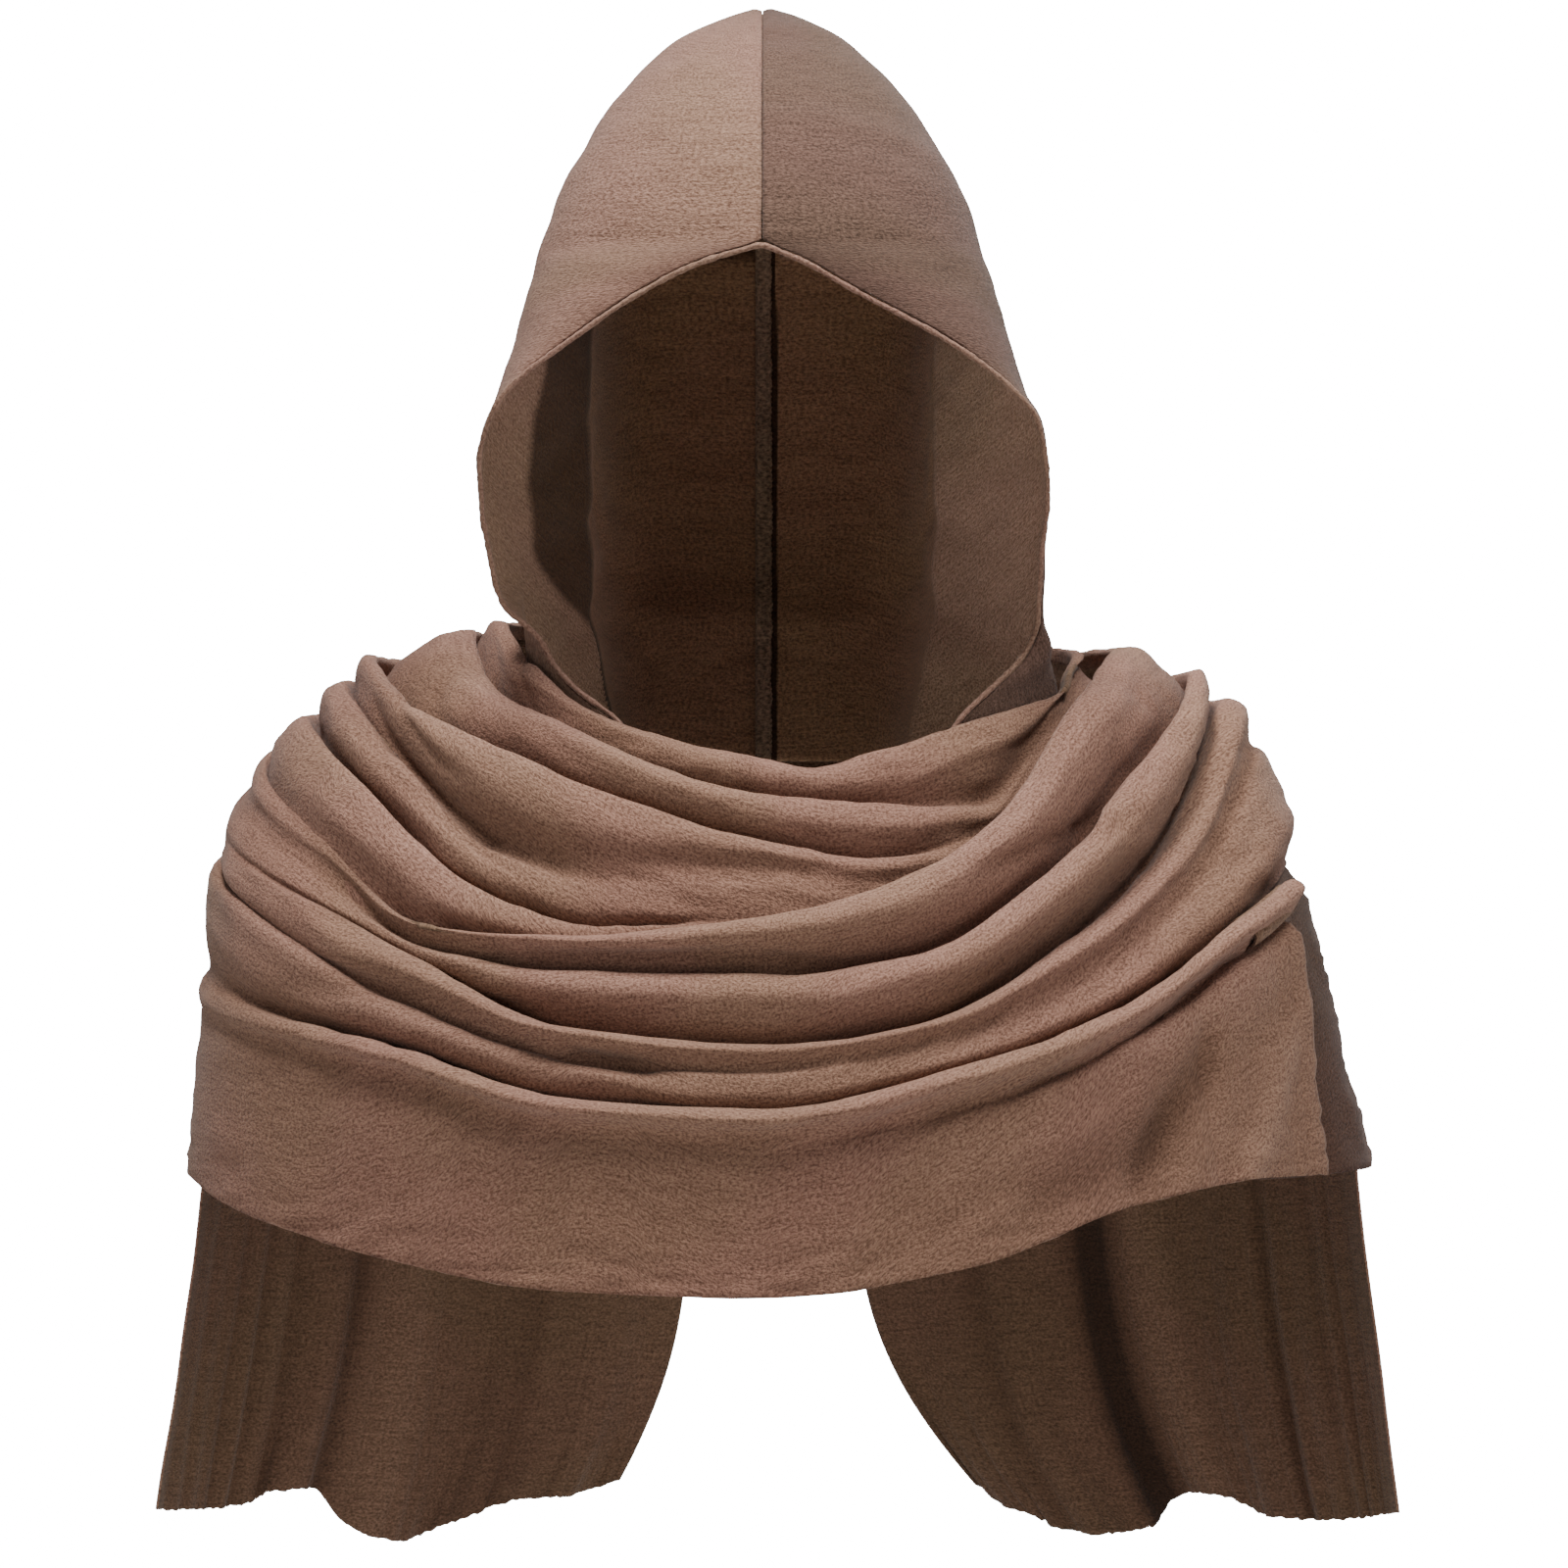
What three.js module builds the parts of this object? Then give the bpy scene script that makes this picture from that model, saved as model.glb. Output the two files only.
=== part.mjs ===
// A medieval hood of crepe cotton, held in the form it has when worn: a two-panel pointed
// hood, a long scarf wound round the neck and shoulders, and its two ends hanging behind.
// Millimetres, +Z up, the open face towards -Y. Right and left are the wearer's.
import * as THREE from "three";

// Driving dimensions
const CLOTH = 1.3;          // thickness of the doubled crepe cloth
const LAYER_GAP = 0.5;      // clearance between two layers of cloth
const SEAM_GAP = 0.3;       // clearance between pieces that are sewn together
const HOOD_RISE = 350;      // apex of the hood above the dip of the collar
const HOOD_HALF = 127;      // half width of the hood beside the face
const HOOD_FRONT = 126;     // reach of the peak forward of the head's axis
const HOOD_BACK = 108;      // reach of the hood behind the head's axis
const HEAD_TOP = 262;       // top of the head above the dip of the collar
const HEM_ROLL = 3;         // diameter of the rolled hem round the face
const SEAM_WIDTH = 7.5;     // width of the sewn allowance inside the hood
const SEAM_DROP = 1.1;      // clearance of the allowance under the ridge of the seam
const SHOULDER_HALF = 250;  // half width of the wrap over the shoulders
const CHEST_REACH = 150;    // reach of the front drape forward of the head's axis
const BACK_REACH = 132;     // reach of the wrap behind the head's axis
const WRAP_DROP = 200;      // height that the wrap's folds are measured in
const FOLD_TUCK = 8;        // depth of the crease above a full fold
const FOLD_BULGE = 6;       // how far a full fold stands out
const NOTCH_DEPTH = 7;      // dip of the collar in front
const TAIL_DROP = 162;      // length of the hanging ends below the hem
const TAIL_TUCK = 10;       // height of the hanging ends hidden inside the hem
const TAIL_WAVE = 7;        // swing of the folds in the hanging ends
const DRAPE_FLARE = 13;     // how far the back layer stands out past the front one
const DRAPE_BELLY = 12;     // how far the back layer swells under the rolled fold above it

// Shares that place the collar round the hood
const COLLAR_RIGHT = HOOD_HALF * 0.95;
const COLLAR_LEFT = HOOD_HALF * 1.18;
const COLLAR_FRONT = HOOD_FRONT * 0.75;
const COLLAR_BACK = HOOD_BACK * 0.97;
const BODY_CENTRE = 5;
const ROUNDNESS = 0.8;
const FALL_SHARE = 0.3;
const SEAM_EDGES = [0.55, -0.45];

// Angles round the wrap in degrees, 0 in front and positive to the wearer's left
const STATIONS = [-180, -90, -60, -40, -20, 0, 20, 40, 60, 90, 180];
const FREE_EDGE = 72.5;
const BACK_EDGE = -150;
const DRAPE_START = 57;
const DRAPE_END = 225;
const NOTCH_ANGLE = 9;
const NOTCH_SPREAD = 7;

const radians = THREE.MathUtils.degToRad;
const lerp = THREE.MathUtils.lerp;
const smoothstep = THREE.MathUtils.smoothstep;

// Sections of the hood from the neck to the apex. up: height as a share of HOOD_RISE.
// right, left, open, openLeft and corner: half widths as shares of HOOD_HALF. edge and side:
// forward reach of the front edge and of the widest place, as shares of HOOD_FRONT.
// back: reach of the back seam as a share of HOOD_BACK. round: 0.45 is square, 1 round.
// turn: share of the way back where the flared side has drawn in to the corner's width.
const HOOD_COLUMNS = ["up", "right", "left", "open", "openLeft", "corner", "edge", "side", "back",
  "round", "turn"];
const HOOD_SECTIONS = [
  [0.029, 0.79, 1.02, 0.42, 0.6, 0.53, 0.6, 0.28, 0.85, 0.5, 0.45],
  [0.074, 0.83, 1.08, 0.52, 0.74, 0.54, 0.61, 0.32, 0.87, 0.5, 0.45],
  [0.125, 0.87, 1.09, 0.74, 0.86, 0.57, 0.53, 0.38, 0.89, 0.48, 0.45],
  [0.171, 0.89, 1.05, 0.86, 0.95, 0.59, 0.46, 0.42, 0.91, 0.46, 0.45],
  [0.217, 0.915, 0.995, 0.915, 0.99, 0.612, 0.49, 0.42, 0.935, 0.45, 0.45],
  [0.286, 0.96, 0.995, 0.96, 0.99, 0.615, 0.61, 0.5, 0.965, 0.45, 0.45],
  [0.343, 0.985, 1.005, 0.985, 1.005, 0.62, 0.71, 0.58, 0.98, 0.45, 0.45],
  [0.4, 1, 1.005, 1, 1.005, 0.62, 0.795, 0.64, 0.99, 0.45, 0.45],
  [0.463, 0.972, 0.98, 0.962, 0.97, 0.62, 0.87, 0.66, 1, 0.45, 0.45],
  [0.506, 0.925, 0.925, 0.89, 0.88, 0.62, 0.91, 0.64, 1, 0.46, 0.45],
  [0.571, 0.87, 0.87, 0.665, 0.64, 0.62, 0.945, 0.58, 1, 0.48, 0.45],
  [0.629, 0.83, 0.825, 0.43, 0.34, 0.615, 0.975, 0.51, 0.985, 0.5, 0.6],
  [0.668, 0.8, 0.79, 0.21, 0.15, 0.605, 0.995, 0.46, 0.96, 0.53, 0.8],
  [0.692, 0.78, 0.77, 0, 0, 0.6, 1, 0.42, 0.94, 0.56, 1],
  [0.749, 0.727, 0.72, 0, 0, 0.55, 0.945, 0.36, 0.88, 0.62, 1],
  [0.817, 0.633, 0.62, 0, 0, 0.46, 0.825, 0.29, 0.76, 0.7, 1],
  [0.874, 0.53, 0.515, 0, 0, 0.38, 0.675, 0.22, 0.61, 0.8, 1],
  [0.923, 0.415, 0.4, 0, 0, 0.3, 0.5, 0.17, 0.42, 0.9, 1],
  [0.96, 0.28, 0.27, 0, 0, 0.2, 0.33, 0.13, 0.22, 0.95, 1],
  [0.985, 0.135, 0.14, 0, 0, 0.09, 0.19, 0.09, 0.04, 1, 1],
  [0.997, 0.035, 0.035, 0, 0, 0.025, 0.12, 0.08, -0.05, 1, 1],
].map((row) => Object.fromEntries(HOOD_COLUMNS.map((column, k) => [column, row[k]])));
const HOOD_PEAK_ROW = 13;

// Folds of the inner turn, from the collar down. height: at each station, as shares of
// WRAP_DROP above the collar's dip. strength: 0 is smooth, 1 a full fold. right, left,
// front and back: how far out the fold lies, 0 at the collar and 1 over the shoulders.
const NECK_FOLDS = [
  { name: "collar", right: 0, left: 0, front: 0, back: 0,
    height: [0.34, 0.36, 0.276, 0.163, 0.097, 0.062, 0.076, 0.145, 0.197, 0.29, 0.34],
    strength: [0.4, 0.5, 0.6, 0.6, 0.6, 0.6, 0.6, 0.6, 0.6, 0.5, 0.4] },
  { name: "first_fold", right: 0.1, left: 0.02, front: 0.2, back: 0.05,
    height: [0.3, 0.335, 0.19, 0.123, 0.033, -0.026, -0.044, -0.053, 0.16, 0.262, 0.3],
    strength: [0.2, 0.6, 0.9, 0.9, 0.8, 0.7, 0.5, 0.3, 0, 0, 0.2] },
  { name: "second_fold", right: 0.42, left: 0.03, front: 0.33, back: 0.1,
    height: [0.24, 0.275, 0.16, 0.07, -0.04, -0.124, -0.168, -0.12, 0.13, 0.24, 0.24],
    strength: [0.1, 0.9, 1, 1, 0.8, 0.7, 0.5, 0, 0, 0, 0.1] },
  { name: "side_pleat", right: 0.52, left: 0.05, front: 0.46, back: 0.13,
    height: [0.2, 0.225, 0.06, -0.14, -0.235, -0.225, -0.245, -0.15, 0.105, 0.22, 0.2],
    strength: [0, 0.6, 0.6, 0.45, 0.1, 0, 0, 0, 0, 0, 0] },
  { name: "third_fold", right: 0.65, left: 0.06, front: 0.545, back: 0.16,
    height: [0.16, 0.147, -0.01, -0.225, -0.317, -0.315, -0.27, -0.18, 0.08, 0.2, 0.16],
    strength: [0, 0.9, 1, 1, 0.5, 0, 0, 0, 0, 0, 0] },
  { name: "hidden_end", right: 0.86, left: 0.07, front: 0.555, back: 0.19,
    height: [0.1, -0.06, -0.225, -0.39, -0.425, -0.385, -0.32, -0.215, 0.05, 0.18, 0.1],
    strength: [0, 0, 0, 0, 0, 0, 0, 0, 0, 0, 0] },
];

// Folds of the outer turn, from the lip that lies on the inner turn down to the hem
const CHEST_FOLDS = [
  { name: "outer_lip", right: 0.88, left: 0.12, front: 0.61, back: 0.55,
    height: [0.26, 0.04, -0.128, -0.317, -0.342, -0.296, -0.223, -0.076, 0.185, 0.292, 0.26],
    strength: [0.4, 0.5, 0.5, 0.7, 1, 1, 1, 1, 0.9, 0.6, 0.4] },
  { name: "sweep_fold", right: 0.92, left: 0.47, front: 0.72, back: 0.66,
    height: [0.16, -0.05, -0.2, -0.36, -0.415, -0.423, -0.383, -0.201, 0.053, 0.245, 0.16],
    strength: [0.2, 0, 0.05, 0.2, 0.45, 0.45, 0.8, 1, 1, 0.7, 0.2] },
  { name: "notched_fold", right: 0.94, left: 0.56, front: 0.83, back: 0.74,
    height: [0.08, -0.115, -0.245, -0.385, -0.542, -0.579, -0.533, -0.365, -0.156, 0.188, 0.08],
    strength: [0.3, 0, 0.2, 0.7, 1, 0.6, 0.7, 0.9, 0.9, 0.7, 0.3] },
  { name: "soft_fold", right: 0.965, left: 0.74, front: 0.93, back: 0.84,
    height: [-0.02, -0.185, -0.351, -0.5, -0.618, -0.645, -0.585, -0.44, -0.235, 0.08, -0.02],
    strength: [0.2, 0.3, 0.3, 0.3, 0.2, 0.05, 0, 0, 0, 0.1, 0.2] },
  { name: "deep_fold", right: 1.015, left: 0.965, front: 0.98, back: 0.92,
    height: [-0.26, -0.44, -0.518, -0.585, -0.697, -0.72, -0.635, -0.499, -0.302, -0.15, -0.26],
    strength: [0.4, 0.15, 0.4, 0.8, 1, 1, 1, 0.9, 0.9, 0.8, 0.4] },
  { name: "edge_pleat", right: 1.025, left: 0.955, front: 1, back: 0.95,
    height: [-0.38, -0.53, -0.6, -0.676, -0.785, -0.814, -0.74, -0.6, -0.4, -0.27, -0.38],
    strength: [0, 0, 0, 0, 0, 0, 0.1, 0.3, 0.35, 0.2, 0] },
  { name: "hem", right: 1.07, left: 1.12, front: 1.03, back: 1,
    height: [-0.92, -0.875, -0.973, -1.058, -1.125, -1.139, -1.076, -0.934, -0.878, -0.872, -0.92],
    strength: [0, 0, 0, 0, 0, 0, 0, 0, 0, 0, 0] },
];

// Hanging ends. from and to: angles of the outer and inner edge. outerShift, innerShift: how
// far each edge leans outwards at the bottom, as shares of TAIL_DROP. hem: place across from
// the outer edge and length there, as shares. waves: turns across, phase and size of a fold.
const RIGHT_TAIL = {
  name: "tail_right", side: -1, from: -97, to: -172.5, outerShift: 0.13, innerShift: 0.2,
  hem: [[0, 0.944], [0.09, 0.944], [0.18, 0.93], [0.25, 0.89], [0.34, 0.88], [0.39, 0.965], [0.46, 1.01],
    [0.52, 1.02], [0.58, 0.994], [0.72, 0.92], [0.78, 0.895], [0.89, 0.877], [1, 0.83]],
  waves: [[2.1, 0.6, 1], [5.3, 1.1, 0.35]],
};
const LEFT_TAIL = {
  name: "tail_left", side: 1, from: 99, to: 171, outerShift: 0.12, innerShift: 0.34,
  hem: [[0, 0.957], [0.1, 0.975], [0.2, 0.975], [0.31, 0.957], [0.39, 0.907], [0.45, 0.889], [0.51, 0.9],
    [0.58, 0.985], [0.69, 1], [0.77, 0.99], [0.88, 0.932], [1, 0.85]],
  waves: [[1.9, 2.2, 1], [6.5, 0.3, 0.25]],
};

// Smooth curve through knots that never overshoots them (monotone cubic)
function curveAt(knots, values, at) {
  let i = knots.length - 2;
  while (i > 0 && at < knots[i]) i -= 1;
  const width = (j) => knots[j + 1] - knots[j];
  const slope = (j) => (values[j + 1] - values[j]) / width(j);
  const tangent = (j) => {
    if (j === 0) return slope(0);
    if (j === knots.length - 1) return slope(j - 1);
    const before = slope(j - 1);
    const after = slope(j);
    if (before * after <= 0) return 0;
    const a = width(j) * 2 + width(j - 1);
    const b = width(j) + width(j - 1) * 2;
    return (a + b) / (a / before + b / after);
  };
  const t = THREE.MathUtils.clamp((at - knots[i]) / width(i), 0, 1);
  const h = width(i);
  return (1 + 2 * t) * (1 - t) ** 2 * values[i] + t * (1 - t) ** 2 * h * tangent(i)
    + t * t * (3 - 2 * t) * values[i + 1] + t * t * (t - 1) * h * tangent(i + 1);
}

// Angle brought into the range of the stations
function wrapped(angle) {
  return THREE.MathUtils.euclideanModulo(angle + 180, 360) - 180;
}

// Outward direction in plan at an angle round the wrap
function planNormal(angle) {
  return new THREE.Vector3(Math.sin(radians(angle)), -Math.cos(radians(angle)), 0);
}

// Point of a fold's line before it is folded: a rounded oval in plan, charted in height
function foldLine(fold, angle) {
  const u = wrapped(angle);
  const sine = Math.sin(radians(u));
  const cosine = Math.cos(radians(u));
  const side = u < 0
    ? lerp(COLLAR_RIGHT, SHOULDER_HALF, fold.right)
    : lerp(COLLAR_LEFT, SHOULDER_HALF, fold.left);
  const reach = cosine > 0
    ? -lerp(COLLAR_FRONT, CHEST_REACH, fold.front)
    : lerp(COLLAR_BACK, BACK_REACH, fold.back);
  let z = curveAt(STATIONS, fold.height, u) * WRAP_DROP;
  if (fold.name === "collar") {
    z -= NOTCH_DEPTH * Math.exp(-(((u - NOTCH_ANGLE) / NOTCH_SPREAD) ** 2));
  }
  const y = BODY_CENTRE * Math.abs(sine) + reach * Math.abs(cosine) ** ROUNDNESS;
  return new THREE.Vector3(side * sine, y, z);
}

// Rings of a turn at one angle, four to a fold: the crease tucked behind the fold's lip,
// the lip, the swell below it and the fall to the next crease
function foldedProfile(folds, angle) {
  const u = wrapped(angle);
  const plan = planNormal(u);
  const lines = folds.map((fold) => foldLine(fold, angle));
  const profile = [];
  folds.forEach((fold, k) => {
    const here = lines[k];
    const above = lines[Math.max(k - 1, 0)];
    const below = lines[Math.min(k + 1, folds.length - 1)];
    const down = below.clone().sub(above).normalize();
    const out = plan.clone().multiplyScalar(-down.z);
    out.z = down.dot(plan);
    out.normalize();
    const s = curveAt(STATIONS, fold.strength, u);
    const flat = above.clone().lerp(here, 0.88);
    const tucked = here.clone().addScaledVector(down, FOLD_TUCK * 0.6 * s);
    const crease = flat.lerp(tucked, s).addScaledVector(out, -FOLD_TUCK * s);
    const lip = here.clone().addScaledVector(out, FOLD_BULGE * 0.2 * s);
    if (k === 0) {
      crease.copy(here).addScaledVector(down, FOLD_TUCK * 0.7);
      crease.addScaledVector(out, -FOLD_TUCK * 0.5);
    }
    profile.push(crease, lip);
    if (k < folds.length - 1) {
      profile.push(here.clone().lerp(below, 0.3).addScaledVector(out, FOLD_BULGE * s));
      profile.push(here.clone().lerp(below, 0.67).addScaledVector(out, FOLD_BULGE * FALL_SHARE * s));
    }
  });
  return profile;
}

// Unit normals of a grid of points, pointing out where columns run to the left seen from
// outside and rows run down
function gridNormals(grid, closed) {
  return grid.map((row, i) => row.map((_, j) => {
    const last = row.length - 1;
    const before = closed && j === 0 ? last : Math.max(j - 1, 0);
    const after = closed && j === last ? 0 : Math.min(j + 1, last);
    const along = row[after].clone().sub(row[before]);
    const down = grid[Math.min(i + 1, grid.length - 1)][j].clone().sub(grid[Math.max(i - 1, 0)][j]);
    return down.cross(along).normalize();
  }));
}

// Grid moved along its normals
function offsetGrid(grid, normals, distance) {
  return grid.map((row, i) => row.map((p, j) => p.clone().addScaledVector(normals[i][j], distance)));
}

// Closed wall between an outer and an inner grid. keep(i, j) says which cells are cloth.
function wall(outer, inner, closed, keep = () => true) {
  const columns = outer[0].length;
  const size = outer.length * columns;
  const cellColumns = closed ? columns : columns - 1;
  const at = (i, j) => i * columns + (j % columns);
  const present = (i, j) => {
    if (i < 0 || i >= outer.length - 1) return false;
    if (!closed && (j < 0 || j >= cellColumns)) return false;
    return keep(i, THREE.MathUtils.euclideanModulo(j, cellColumns));
  };
  const faces = [];
  const quad = (a, b, c, d) => faces.push(a, b, c, a, c, d);
  for (let i = 0; i < outer.length - 1; i += 1) {
    for (let j = 0; j < cellColumns; j += 1) {
      if (!present(i, j)) continue;
      const [a, b, c, d] = [at(i, j), at(i + 1, j), at(i + 1, j + 1), at(i, j + 1)];
      quad(a, b, c, d);
      quad(d + size, c + size, b + size, a + size);
      if (!present(i - 1, j)) quad(a, d, d + size, a + size);
      if (!present(i + 1, j)) quad(c, b, b + size, c + size);
      if (!present(i, j - 1)) quad(b, a, a + size, b + size);
      if (!present(i, j + 1)) quad(d, c, c + size, d + size);
    }
  }
  const used = [...new Set(faces)].sort((p, q) => p - q);
  const place = new Map(used.map((v, n) => [v, n]));
  const points = [...outer.flat(), ...inner.flat()];
  const geometry = new THREE.BufferGeometry();
  geometry.setFromPoints(used.map((v) => points[v]));
  geometry.setIndex(faces.map((v) => place.get(v)));
  geometry.computeVertexNormals();
  return geometry;
}

const outerCloth = new THREE.MeshStandardMaterial({ color: "#8c6c5e", roughness: 0.95, metalness: 0 });
const reverseCloth = new THREE.MeshStandardMaterial({ color: "#4f3d2e", roughness: 0.95, metalness: 0 });
const seamCloth = new THREE.MeshStandardMaterial({ color: "#5f4a3c", roughness: 0.95, metalness: 0 });

const hood = new THREE.Group();
hood.position.z = -HEAD_TOP;

function addPiece(name, geometry, material) {
  const mesh = new THREE.Mesh(geometry, material);
  mesh.name = name;
  hood.add(mesh);
}

// The hood's neck drawn inside the collar: a point below the collar's edge that would lie
// outside the rolled edge is brought in to it, and the pull fades out above the edge
const COLLAR_ROLL = FOLD_TUCK * 0.5 + CLOTH;
const PULL_HEIGHT = 30;

function insideCollar(point) {
  const inset = COLLAR_ROLL + LAYER_GAP * 1.6;
  const side = (point.x < 0 ? COLLAR_RIGHT : COLLAR_LEFT) - inset;
  const reach = (point.y < 0 ? COLLAR_FRONT : COLLAR_BACK) - inset;
  const wide = Math.abs(point.x) / side;
  const deep = (Math.abs(point.y) / reach) ** (1 / ROUNDNESS);
  const size = Math.hypot(wide, deep);
  if (size <= 1) return point;
  const angle = Math.atan2(Math.sign(point.x) * wide, -Math.sign(point.y) * deep);
  const edge = foldLine(NECK_FOLDS[0], THREE.MathUtils.radToDeg(angle)).z;
  const pull = 1 - smoothstep(point.z, edge + HEM_ROLL, edge + PULL_HEIGHT);
  point.x *= lerp(1, 1 / size, pull);
  point.y *= lerp(1, size ** -ROUNDNESS, pull);
  return point;
}

// Hood panels: horizontal sections from the front edge or front seam round to the back seam
const FRONT_STEPS = 5;
const BACK_STEPS = 9;

function hoodSection(section, side) {
  const half = HOOD_HALF * (side < 0 ? section.right : section.left);
  const open = HOOD_HALF * (side < 0 ? section.open : section.openLeft);
  const z = HOOD_RISE * section.up;
  const corner = HOOD_HALF * section.corner;
  const frontY = -HOOD_FRONT * section.edge;
  const sideY = -HOOD_FRONT * section.side;
  const backY = HOOD_BACK * section.back;
  const points = [];
  const start = Math.max(open, SEAM_GAP / 2);
  for (let i = 0; i < FRONT_STEPS; i += 1) {
    const t = (i / FRONT_STEPS) * Math.PI / 2;
    const x = start + (half - start) * Math.sin(t) ** 1.15;
    points.push(new THREE.Vector3(side * x, lerp(frontY, sideY, 1 - Math.cos(t)), z));
  }
  for (let i = 0; i <= BACK_STEPS; i += 1) {
    const t = (i / BACK_STEPS) * Math.PI / 2;
    const depth = Math.sin(t) ** section.round;
    const drawnIn = lerp(half, corner, Math.min(depth / section.turn, 1));
    const width = Math.max(Math.cos(t), 0) ** section.round * drawnIn;
    points.push(new THREE.Vector3(side * Math.max(width, SEAM_GAP / 2), lerp(sideY, backY, depth), z));
  }
  return points.map(insideCollar);
}

function hoodPanel(side) {
  const grid = HOOD_SECTIONS.map((section) => hoodSection(section, side)).reverse();
  if (side < 0) grid.forEach((row) => row.reverse());
  const normals = gridNormals(grid, false);
  const inner = offsetGrid(grid, normals, -CLOTH);
  const seamLimit = SEAM_GAP / 2;
  inner.flat().forEach((p) => { p.x = side * Math.max(side * p.x, seamLimit); });
  return { grid, normals, inner };
}

const rightPanel = hoodPanel(-1);
const leftPanel = hoodPanel(1);
addPiece("hood_right_panel", wall(rightPanel.grid, rightPanel.inner, false), outerCloth);
addPiece("hood_left_panel", wall(leftPanel.grid, leftPanel.inner, false), outerCloth);

// Sewn allowance: a narrow band under the seam, from the peak over the crown to the nape
function seamBand() {
  const rows = rightPanel.grid;
  const frontColumn = rows[0].length - 1;
  const peak = rows.length - 1 - HOOD_PEAK_ROW;
  const front = rows.slice(0, peak + 1).map((row) => row[frontColumn]).reverse();
  const path = [...front, ...rows.map((row) => row[0])];
  const depth = CLOTH + SEAM_DROP;
  const bands = [depth, depth + CLOTH].map((inset) => path.map((p, i) => {
    const along = path[Math.min(i + 1, path.length - 1)].clone().sub(path[Math.max(i - 1, 0)]);
    const into = new THREE.Vector3(0, along.z, -along.y).normalize();
    const middle = p.clone().addScaledVector(into, inset);
    return SEAM_EDGES.map((share) => middle.clone().setX(share * SEAM_WIDTH));
  }));
  return wall(bands[0], bands[1], false);
}
addPiece("hood_centre_seam", seamBand(), seamCloth);

// Rolled hem round the face: a round cord of cloth carried along both front edges
const HEM_SIDES = 6;

function faceHem() {
  const stations = [];
  const collect = (panel, column, side) => {
    const rows = panel.grid.length;
    for (let i = rows - 1; i >= rows - 1 - HOOD_PEAK_ROW; i -= 1) {
      const middle = panel.grid[i][column].clone().lerp(panel.inner[i][column], 0.5);
      if (i === rows - 1 - HOOD_PEAK_ROW) {
        if (side > 0) continue;
        middle.x = 0;
      }
      stations.push({ middle, normal: panel.normals[i][column].clone() });
    }
  };
  const lastColumn = rightPanel.grid[0].length - 1;
  collect(rightPanel, lastColumn, -1);
  const leftStart = stations.length;
  collect(leftPanel, 0, 1);
  const leftSide = stations.splice(leftStart).reverse();
  stations.push(...leftSide);
  const reach = HEM_ROLL / 2 + SEAM_GAP * 2;
  const rings = stations.map(({ middle, normal }, i) => {
    const before = stations[Math.max(i - 1, 0)].middle;
    const after = stations[Math.min(i + 1, stations.length - 1)].middle;
    const along = after.clone().sub(before).normalize();
    const level = normal.clone().addScaledVector(along, -normal.dot(along)).normalize();
    const away = along.clone().cross(level).normalize();
    const centre = middle.clone().addScaledVector(away, reach);
    return Array.from({ length: HEM_SIDES }, (_, k) => {
      const turn = (k / HEM_SIDES) * Math.PI * 2;
      return centre.clone()
        .addScaledVector(away, Math.cos(turn) * HEM_ROLL / 2)
        .addScaledVector(level, -Math.sin(turn) * HEM_ROLL / 2);
    });
  });
  return tube(rings);
}

// Closed tube through rings of points, with flat ends
function tube(rings) {
  const sides = rings[0].length;
  const faces = [];
  const at = (i, k) => i * sides + (k % sides);
  for (let i = 0; i < rings.length - 1; i += 1) {
    for (let k = 0; k < sides; k += 1) {
      faces.push(at(i, k), at(i, k + 1), at(i + 1, k + 1), at(i, k), at(i + 1, k + 1), at(i + 1, k));
    }
  }
  for (let k = 1; k < sides - 1; k += 1) {
    faces.push(at(0, 0), at(0, k + 1), at(0, k));
    faces.push(at(rings.length - 1, 0), at(rings.length - 1, k), at(rings.length - 1, k + 1));
  }
  const geometry = new THREE.BufferGeometry();
  geometry.setFromPoints(rings.flat());
  geometry.setIndex(faces);
  geometry.computeVertexNormals();
  return geometry;
}
addPiece("face_hem", faceHem(), outerCloth);

// Grid of a turn: a column for each angle, a row for each ring of its folds
function turnGrid(folds, angles) {
  const columns = angles.map((angle) => foldedProfile(folds, angle));
  return columns[0].map((_, i) => columns.map((column) => column[i]));
}

const TURN_ANGLES = [-150, -135, -120, -105, -90, -80, -70, -60, -50, -40, -30, -20, -10, 0, 10, 20, 30,
  40, 50, 60, 66, FREE_EDGE, 80, 90, 100, 112, 126, 140, 154, 168, 182, 196];

// Inner turn of the scarf: the collar and the folds that run under the outer turn
const neckGrid = turnGrid(NECK_FOLDS, TURN_ANGLES);
const neckInner = offsetGrid(neckGrid, gridNormals(neckGrid, true), -CLOTH);
addPiece("neck_wrap", wall(neckGrid, neckInner, true), outerCloth);

// Outer turn of the scarf: a whole ring down to the deep fold, and below it a skirt that
// ends at the free edge in front of the left shoulder and at another edge behind
const chestGrid = turnGrid(CHEST_FOLDS, TURN_ANGLES);
const chestNormals = gridNormals(chestGrid, true);
const chestInner = offsetGrid(chestGrid, chestNormals, -CLOTH);
const DEEP_CREASE = CHEST_FOLDS.findIndex((fold) => fold.name === "deep_fold") * 4;
const freeColumn = TURN_ANGLES.indexOf(FREE_EDGE);
const keepSkirt = (i, j) => i < DEEP_CREASE || j < freeColumn;
addPiece("chest_wrap", wall(chestGrid, chestInner, true, keepSkirt), outerCloth);

// Back layer: comes out from under the outer turn past the free edge, goes round the back
// and ends tucked inside the outer turn's other edge
const DRAPE_ANGLES = [...TURN_ANGLES.filter((angle) => angle >= DRAPE_START), 360 + BACK_EDGE, DRAPE_END];
const RIM_FALL = 5;

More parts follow.
